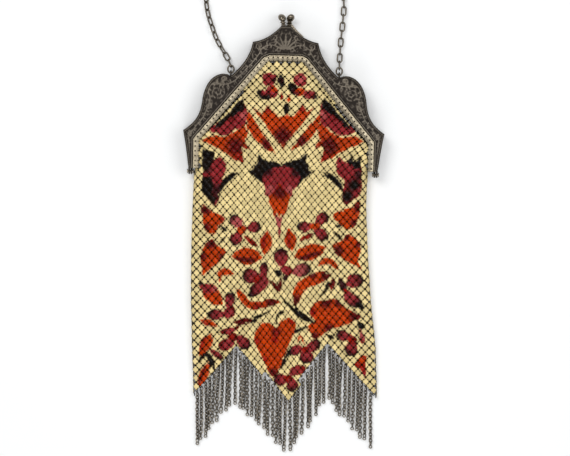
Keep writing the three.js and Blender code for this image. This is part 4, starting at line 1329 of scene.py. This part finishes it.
# Stems: their route with the half width at each point
stemShapes = [
    ("orange", [(-34.6, 63.2, 0.5), (-33.4, 58.6, 1.7), (-30.6, 57.4, 1.9), (-26.6, 58.8, 0.5)]),
    ("orange", [(21.4, 53.2, 0.5), (23.6, 50.8, 1.5), (27, 50.6, 1.7), (30.2, 52.6, 1.3),
     (32, 55, 0.4)]),
    ("black", [(-15.6, 85.2, 1.1), (-10.8, 82, 0.9), (-5.6, 79.1, 0.5)]),
    ("black", [(0.2, 71, 0.7), (4.2, 75.4, 1), (8.6, 79.2, 1.2), (12.4, 81.6, 1.9), (18.8, 85.4, 0.7)]),
    ("black", [(8.8, 74.6, 0.5), (9, 79.4, 0.9)]),
    ("black", [(1.1, 79.8, 1.1), (-1.2, 82, 0.7), (-1.8, 85.8, 0.6)]),
    ("black", [(9.2, 90.6, 1), (12.2, 88.8, 0.9), (15.4, 88, 0.7)]),
    ("black", [(27.2, 63.2, 1), (25.2, 67, 0.9), (22.1, 70.8, 0.5)]),
    ("black", [(-44.6, 108.8, 0.7), (-42.6, 105.2, 1), (-39.6, 105, 1.2), (-37.6, 108.6, 1.2),
     (-36.6, 112.6, 0.6)]),
    ("black", [(-40.6, 105.4, 0.8), (-38.8, 109.6, 0.9), (-39, 112.6, 0.5)]),
    ("red", [(-1.6, 88.6, 1), (-2.6, 97, 0.3)]),
    ("orange", [(10.4, 96.6, 0.3), (11.8, 93.2, 0.8), (14, 97.6, 0.3)]),
]


def edgeDistance(points, outline):
    # The distance to a closed outline, positive inside it
    ends = np.roll(outline, -1, 0)
    nearest = np.full(len(points), np.inf)
    inside = np.zeros(len(points), bool)
    for a, b in zip(outline, ends):
        step = b - a
        share = np.clip(((points - a) @ step) / max(step @ step, 1e-9), 0, 1)
        nearest = np.minimum(nearest, np.linalg.norm(points - a - share[:, None] * step, axis=1))
        crosses = (a[1] > points[:, 1]) != (b[1] > points[:, 1])
        rise = b[1] - a[1] if abs(b[1] - a[1]) > 1e-9 else 1e-9
        inside ^= crosses & (points[:, 0] < (b[0] - a[0]) * (points[:, 1] - a[1]) / rise + a[0])
    return np.where(inside, nearest, -nearest)


def turnedPlaces(places, middle, angle, reach):
    # The places near a shape, with their distances along and across its direction
    offset = places - middle
    chosen = np.flatnonzero(np.hypot(offset[:, 0], offset[:, 1]) < reach + 1)
    (x, y), turn = offset[chosen].T, math.radians(angle)
    return chosen, x * math.cos(turn) + y * math.sin(turn), y * math.cos(turn) - x * math.sin(turn)


def printedColour(across, down):
    softness = 0.3
    colours = {name: linear(value) for name, value in printColours.items()}
    places = np.column_stack((across, down))
    result = np.tile(colours["cream"], (len(places), 1))

    def paint(chosen, depth, colour):
        coverage = np.clip(0.5 + depth / softness, 0, 1)
        result[chosen] += (colour - result[chosen]) * coverage[:, None]

    def within(outline, margin):
        return np.flatnonzero(np.all((places > outline.min(0) - margin)
                                     & (places < outline.max(0) + margin), axis=1))

    for colour, edge, line, spots in upperShapes + leafShapes:
        outline = closedRoute(line) if edge == "curve" else np.array(line, float)
        chosen = within(outline, 1)
        local = places[chosen]
        fill = np.tile(colours[colour], (len(local), 1))
        for x, y, radius, name in spots:
            blend = 1 - rounded(0.35, 1.1, np.hypot(local[:, 0] - x, local[:, 1] - y) / radius)
            fill += (colours[name] - fill) * blend[:, None]
        paint(chosen, edgeDistance(local, outline), fill)
    for x, y, length, width, angle, near, far in petalShapes:
        length, width = petalLook["growth"] * length, petalLook["growth"] * width
        chosen, ahead, aside = turnedPlaces(places, (x, y), angle, max(length, width))
        p, q = ahead / length, aside / width
        # Narrower towards the flower's middle, and pointed at the outer end
        radius = (np.hypot(p, q / (petalLook["nearWidth"] + petalLook["taper"] * p))
                  + petalLook["point"] * np.maximum(p, 0) * np.abs(q))
        blend = rounded(-0.15, 0.95, p + 0.25 * q)[:, None]
        fill = colours[near] * (1 - blend) + colours[far] * blend
        rim = petalLook["rim"] * (rounded(0.62, 0.95, radius) * rounded(-0.6, 0.3, p))[:, None]
        fill += (colours["black" if far in ("black", "plum") else "darkRed"] - fill) * rim
        if near in ("rose", "paleRose"):
            besideVein = np.abs(np.abs(q) - petalLook["veinAside"])
            vein = petalLook["vein"] * (rounded(0.2, 0.0, besideVein) * rounded(0.5, 0.0, p))[:, None]
            fill += (colours["paleRose"] - fill) * vein
        paint(chosen, (1 - radius) * min(length, width), fill)
    for x, y, length, width, angle, main, band, side in leafBlades:
        chosen, ahead, aside = turnedPlaces(places, (x, y), angle, length)
        p, q = ahead / length, aside / width
        blend = (rounded(0.5, 0.1, np.abs(q - side)) * rounded(0.95, 0.5, np.abs(p + 0.1)))[:, None]
        fill = colours[main] * (1 - blend) + colours[band] * blend
        paint(chosen, (1 - p * p - np.abs(q)) * width * 0.8, fill)
    for name, route in stemShapes:
        line = smoothRoute(route, 8)
        chosen = within(line[:, :2], 3)
        gaps = np.hypot(places[chosen, :1] - line[:, 0], places[chosen, 1:] - line[:, 1]) - line[:, 2]
        paint(chosen, -gaps.min(axis=1), colours[name])
    return np.column_stack((result, np.ones(len(result))))


plateSites = latticeSites(0)
ringSites = latticeSites(1)
for side in ("front", "back"):
    sites = keptSites(plateSites[side], plateShape["tip"], plateShape["waist"][0], plateShape["overlap"])
    points, faces, rim, cell = plates(sites)
    acrossPrint = points[:, 0] if side == "front" else -points[:, 0]
    wander = rng.normal(0, plateShape["printWander"], (len(sites), 2))
    offsets = wander.repeat(len(points) // len(sites), axis=0)
    colours = printedColour(acrossPrint + offsets[:, 0], -points[:, 1] + offsets[:, 1])
    makePiece("bag_plates_" + side, (points, faces), enamel, ["mesh_bag"], smoothAngle=62,
              attributes={"print": colours, "rim": rim, "cell": cell})
    ringsKept = keptSites(ringSites[side], *ringShape["fit"])
    makePiece("bag_links_" + side, linkRings(ringsKept), metals["linkRings"])
print("bag built")


# The handle: oval links laid along a route from one end ring to the other, and the end rings

handle = {
    "pitch": 4.4, "wire": 0.45, "halfWidth": 1.25, "contact": 0.7, "ringRadius": 2.1, "ringOval": 0.8,
    "lean": 45, "endSteps": 9, "wireSides": 8,
    "route": [(-31.9, 9.2, 2.6), (-34.9, 14.4, 1.9), (-38.6, 20.6, 1.8), (-41.6, 28, 1.8),
              (-44.2, 36, 1.8), (-45.2, 44, 1.8), (-42.8, 54, 1.8), (-36.8, 63.2, 1.8),
              (-28, 69.8, 1.8), (-17.8, 73.6, 1.8),
              (-6.8, 75, 1.8), (4.4, 73.6, 1.8), (14.6, 69.8, 1.8), (23.4, 63.2, 1.8),
              (29.6, 54, 1.8), (32.2, 44, 1.8), (31.9, 32, 1.8), (31.1, 22, 1.8),
              (30.7, 14, 1.9), (30.5, 9, 2.6)],
}


def centripetal(points, steps):
    ends = withEnds(points)
    share = (np.arange(steps) / steps)[:, None]
    runs = []
    for p0, p1, p2, p3 in zip(ends, ends[1:], ends[2:], ends[3:]):
        d0, d1, d2 = (np.linalg.norm(b - a) ** 0.5 for a, b in ((p0, p1), (p1, p2), (p2, p3)))
        first = ((p1 - p0) / d0 - (p2 - p0) / (d0 + d1) + (p2 - p1) / d1) * d1
        second = ((p2 - p1) / d1 - (p3 - p1) / (d1 + d2) + (p3 - p2) / d2) * d1
        runs.append(p1 + first * share + (3 * (p2 - p1) - 2 * first - second) * share ** 2
                    + (2 * (p1 - p2) + first + second) * share ** 3)
    return np.vstack(runs + [ends[-2:-1]])


ringFoot = notch[1] + eye["rise"] + eye["radius"] - 2 * handle["wire"] - seatGap
ringTop = ringFoot + 2 * handle["ringRadius"]


def ovalLink(place, ahead, sideways, before, after, shape):
    turns = math.pi * np.arange(shape["endSteps"] + 1) / shape["endSteps"] - math.pi / 2
    centres = []
    for reach, end in ((after, 1), (-before, -1)):
        centres.append(place + np.outer(reach + end * shape["halfWidth"] * (np.cos(turns) - 1), ahead)
                       + np.outer(end * shape["halfWidth"] * np.sin(turns), sideways))
    normal = np.cross(ahead, sideways)
    normal /= np.linalg.norm(normal)
    return wireLoop(np.vstack(centres), normal, shape["wire"], shape["wireSides"])


def turnedAbout(vector, axis, angle):
    return vector * math.cos(angle) + np.cross(axis, vector) * math.sin(angle)


def handleLinks():
    fused = (handle["pitch"] + handle["contact"]) / 2
    free = handle["pitch"] / 2 + (2 * handle["wire"] + seatGap) / 2
    start = ringTop - 2 * handle["wire"] - seatGap + fused - handle["pitch"] / 2
    ends = [[side * notch[0], start, eye["height"]] for side in (-1, 1)]
    route = np.array([ends[0], *[(x, notch[1] + y, z) for x, y, z in handle["route"]], ends[1]])
    line = centripetal(route, 60)
    total = lengths(line)[-1]
    count = 2 * round(total / handle["pitch"] / 2) - 1
    middle = (count + 1) // 2
    halves = {-1: [], 1: []}
    for n in range(count):
        share = (n + 0.5) / count
        place, near, far = along(line, [share * total, share * total - 0.05, share * total + 0.05])
        ahead = (far - near) / np.linalg.norm(far - near)
        flat = np.cross([0, 0, 1], ahead)
        flat /= np.linalg.norm(flat)
        lean = math.radians(handle["lean"]) * rounded(0, 0.1, share) * (1 - rounded(0.4, 0.5, share))
        sideways = turnedAbout(flat, ahead, lean + (0 if n % 2 else math.pi / 2))
        link = ovalLink(place, ahead, sideways, free if n == middle else fused,
                        free if n == middle - 1 else fused, handle)
        halves[-1 if n < middle else 1].append(link)
    return halves


handleHalves = handleLinks()
for side, label in ((-1, "left"), (1, "right")):
    makePiece("handle_links_" + label, joined(handleHalves[side]), metals["chainMetal"],
              ["handle_chain_" + label], smoothAngle=60)
    loop = circle([side * notch[0], ringFoot + handle["ringRadius"], eye["height"]], handle["ringRadius"],
                  [handle["ringOval"], 0, 0], [0, 1, 0], 36)
    makePiece("handle_ring_" + label, wireLoop(loop, [0, 0, 1], handle["wire"], 10), metals["chainMetal"],
              ["end_ring_" + label], smoothAngle=60)
print("handle built")


# The fringe: fine curb chains of small twisted links, hanging from the zigzag foot

fringeShape = {
    "strands": 42, "linkPitch": 1.75, "wire": 0.33, "halfWidth": 0.84, "endSteps": 4, "wireSides": 5,
    "length": 29.4, "lengthSpread": 0.8, "restHeight": 1.18, "rise": 0.8, "sway": 0.3, "lean": 40,
    "top": -0.7, "crowding": 0.42, "footRing": 0.75, "firstTwist": 12, "twistStep": 7, "margin": 0.8,
    "spread": 0.12,
}


def strandLinks(x):
    shape = fringeShape
    top = footHeight(x) - shape["top"]
    length = shape["length"] + rng.normal(0, shape["lengthSpread"])
    count = int(length / shape["linkPitch"])
    phase, drift = rng.uniform(0, 2 * math.pi), rng.normal(0, shape["crowding"])
    centres = []
    for k in range(count + 1):
        share = k / count
        sway = shape["sway"] * share * math.sin(phase + 4.2 * share) + drift * math.sin(1.7 * share)
        drop = k * shape["linkPitch"] * 0.985
        rise = shape["rise"] * (1 - rounded(0, 6, drop))
        centres.append([x + sway, top - drop, shape["restHeight"] + rise])
    centres = np.array(centres)
    links, slow = [], rng.normal(0, shape["firstTwist"])
    reach = shape["linkPitch"] / 2 + shape["wire"] * 0.95
    for k, (a, b) in enumerate(zip(centres, centres[1:])):
        ahead = (b - a) / np.linalg.norm(b - a)
        slow += rng.normal(0, shape["twistStep"])
        turn = math.radians(shape["lean"] * (1 if k % 2 else -1) + slow)
        sideways = turnedAbout(np.cross([0, 0, 1], ahead), ahead, turn)
        links.append(ovalLink((a + b) / 2, ahead, sideways, reach, reach, shape))
    foot = centres[-1] - [0, shape["footRing"] + shape["wire"] * 0.6, 0]
    links.append(wireLoop(circle(foot, shape["footRing"], [1, 0, 0], [0, 1, 0], 10), [0, 0, 1],
                          shape["wire"], shape["wireSides"]))
    return links


def fringeStrands():
    first, last = footLinePoints[[0, -1], 0] + [fringeShape["margin"], -fringeShape["margin"]]
    spots = first + (last - first) * (np.arange(fringeShape["strands"]) + 0.5) / fringeShape["strands"]
    links = []
    for x in spots:
        links += strandLinks(x + rng.normal(0, fringeShape["spread"]))
    return joined(links)


makePiece("fringe_chains", fringeStrands(), metals["fringeMetalPaintedHighlight"], ["chain_fringe"],
          smoothAngle=60)
print("fringe built")


# The floor, the light and the camera

studio = {
    "floorHalf": 1200, "floorColour": (253, 253, 252), "viewWidth": 319.2, "viewCentre": (1.8, -17.15),
    "lens": 135, "sensor": 36, "roll": 1.2, "frontHeight": 9.5,
    "lamps": [
        {"name": "keyLight", "place": (-420, 520, 900), "size": 620, "power": 4.2},
        {"name": "fillLight", "place": (560, 120, 820), "size": 700, "power": 2.2},
        {"name": "topLight", "place": (40, -60, 1150), "size": 320, "power": 2.6},
        {"name": "lowLight", "place": (-100, -700, 520), "size": 500, "power": 1.2},
    ],
    "worldColour": (238, 241, 245), "worldStrength": 0.42,
}


def paleFloor():
    half = studio["floorHalf"] * mm
    mesh = bpy.data.meshes.new("pale_floor")
    mesh.from_pydata([(-half, -half, 0), (half, -half, 0), (half, half, 0), (-half, half, 0)], [],
                     [[0, 1, 2, 3]])
    material, tree, shader = newMaterial("paleFloor")
    tint = mixColour(tree, noiseValue(tree, 30.0), rgba(studio["floorColour"]),
                     rgba([value - 2 for value in studio["floorColour"]]))
    tree.links.new(tint, shader.inputs["Base Color"])
    shader.inputs["Roughness"].default_value = 0.7
    mesh.materials.append(material)
    floor = bpy.data.objects.new("pale_floor", mesh)
    bpy.context.scene.collection.objects.link(floor)


def aim(obj, target):
    direction = np.asarray(target) - np.asarray(obj.location)
    obj.rotation_euler = (math.atan2(math.hypot(*direction[:2]), -direction[2]), 0,
                          math.atan2(direction[1], direction[0]) - math.pi / 2)


def studioLight():
    for lamp in studio["lamps"]:
        light = bpy.data.lights.new(lamp["name"], "AREA")
        light.shape = "DISK"
        light.size = lamp["size"] * mm
        light.energy = lamp["power"]
        obj = bpy.data.objects.new(lamp["name"], light)
        obj.location = [value * mm for value in lamp["place"]]
        aim(obj, (0, 0, 0))
        bpy.context.scene.collection.objects.link(obj)
    world = bpy.data.worlds.new("softRoom")
    world.use_nodes = True
    background = world.node_tree.nodes["Background"]
    background.inputs["Color"].default_value = rgba(studio["worldColour"])
    background.inputs["Strength"].default_value = studio["worldStrength"]
    bpy.context.scene.world = world


def photoCamera():
    data = bpy.data.cameras.new("photoCamera")
    data.sensor_width = studio["sensor"]
    data.lens = studio["lens"]
    data.clip_end = 10
    camera = bpy.data.objects.new("photoCamera", data)
    distance = studio["viewWidth"] * studio["lens"] / studio["sensor"] + studio["frontHeight"]
    camera.location = (studio["viewCentre"][0] * mm, studio["viewCentre"][1] * mm, distance * mm)
    camera.rotation_euler = (0, 0, math.radians(studio["roll"]))
    bpy.context.scene.collection.objects.link(camera)
    bpy.context.scene.camera = camera


paleFloor()
studioLight()
photoCamera()
bpy.context.scene.view_settings.view_transform = "Standard"
print("studio built")
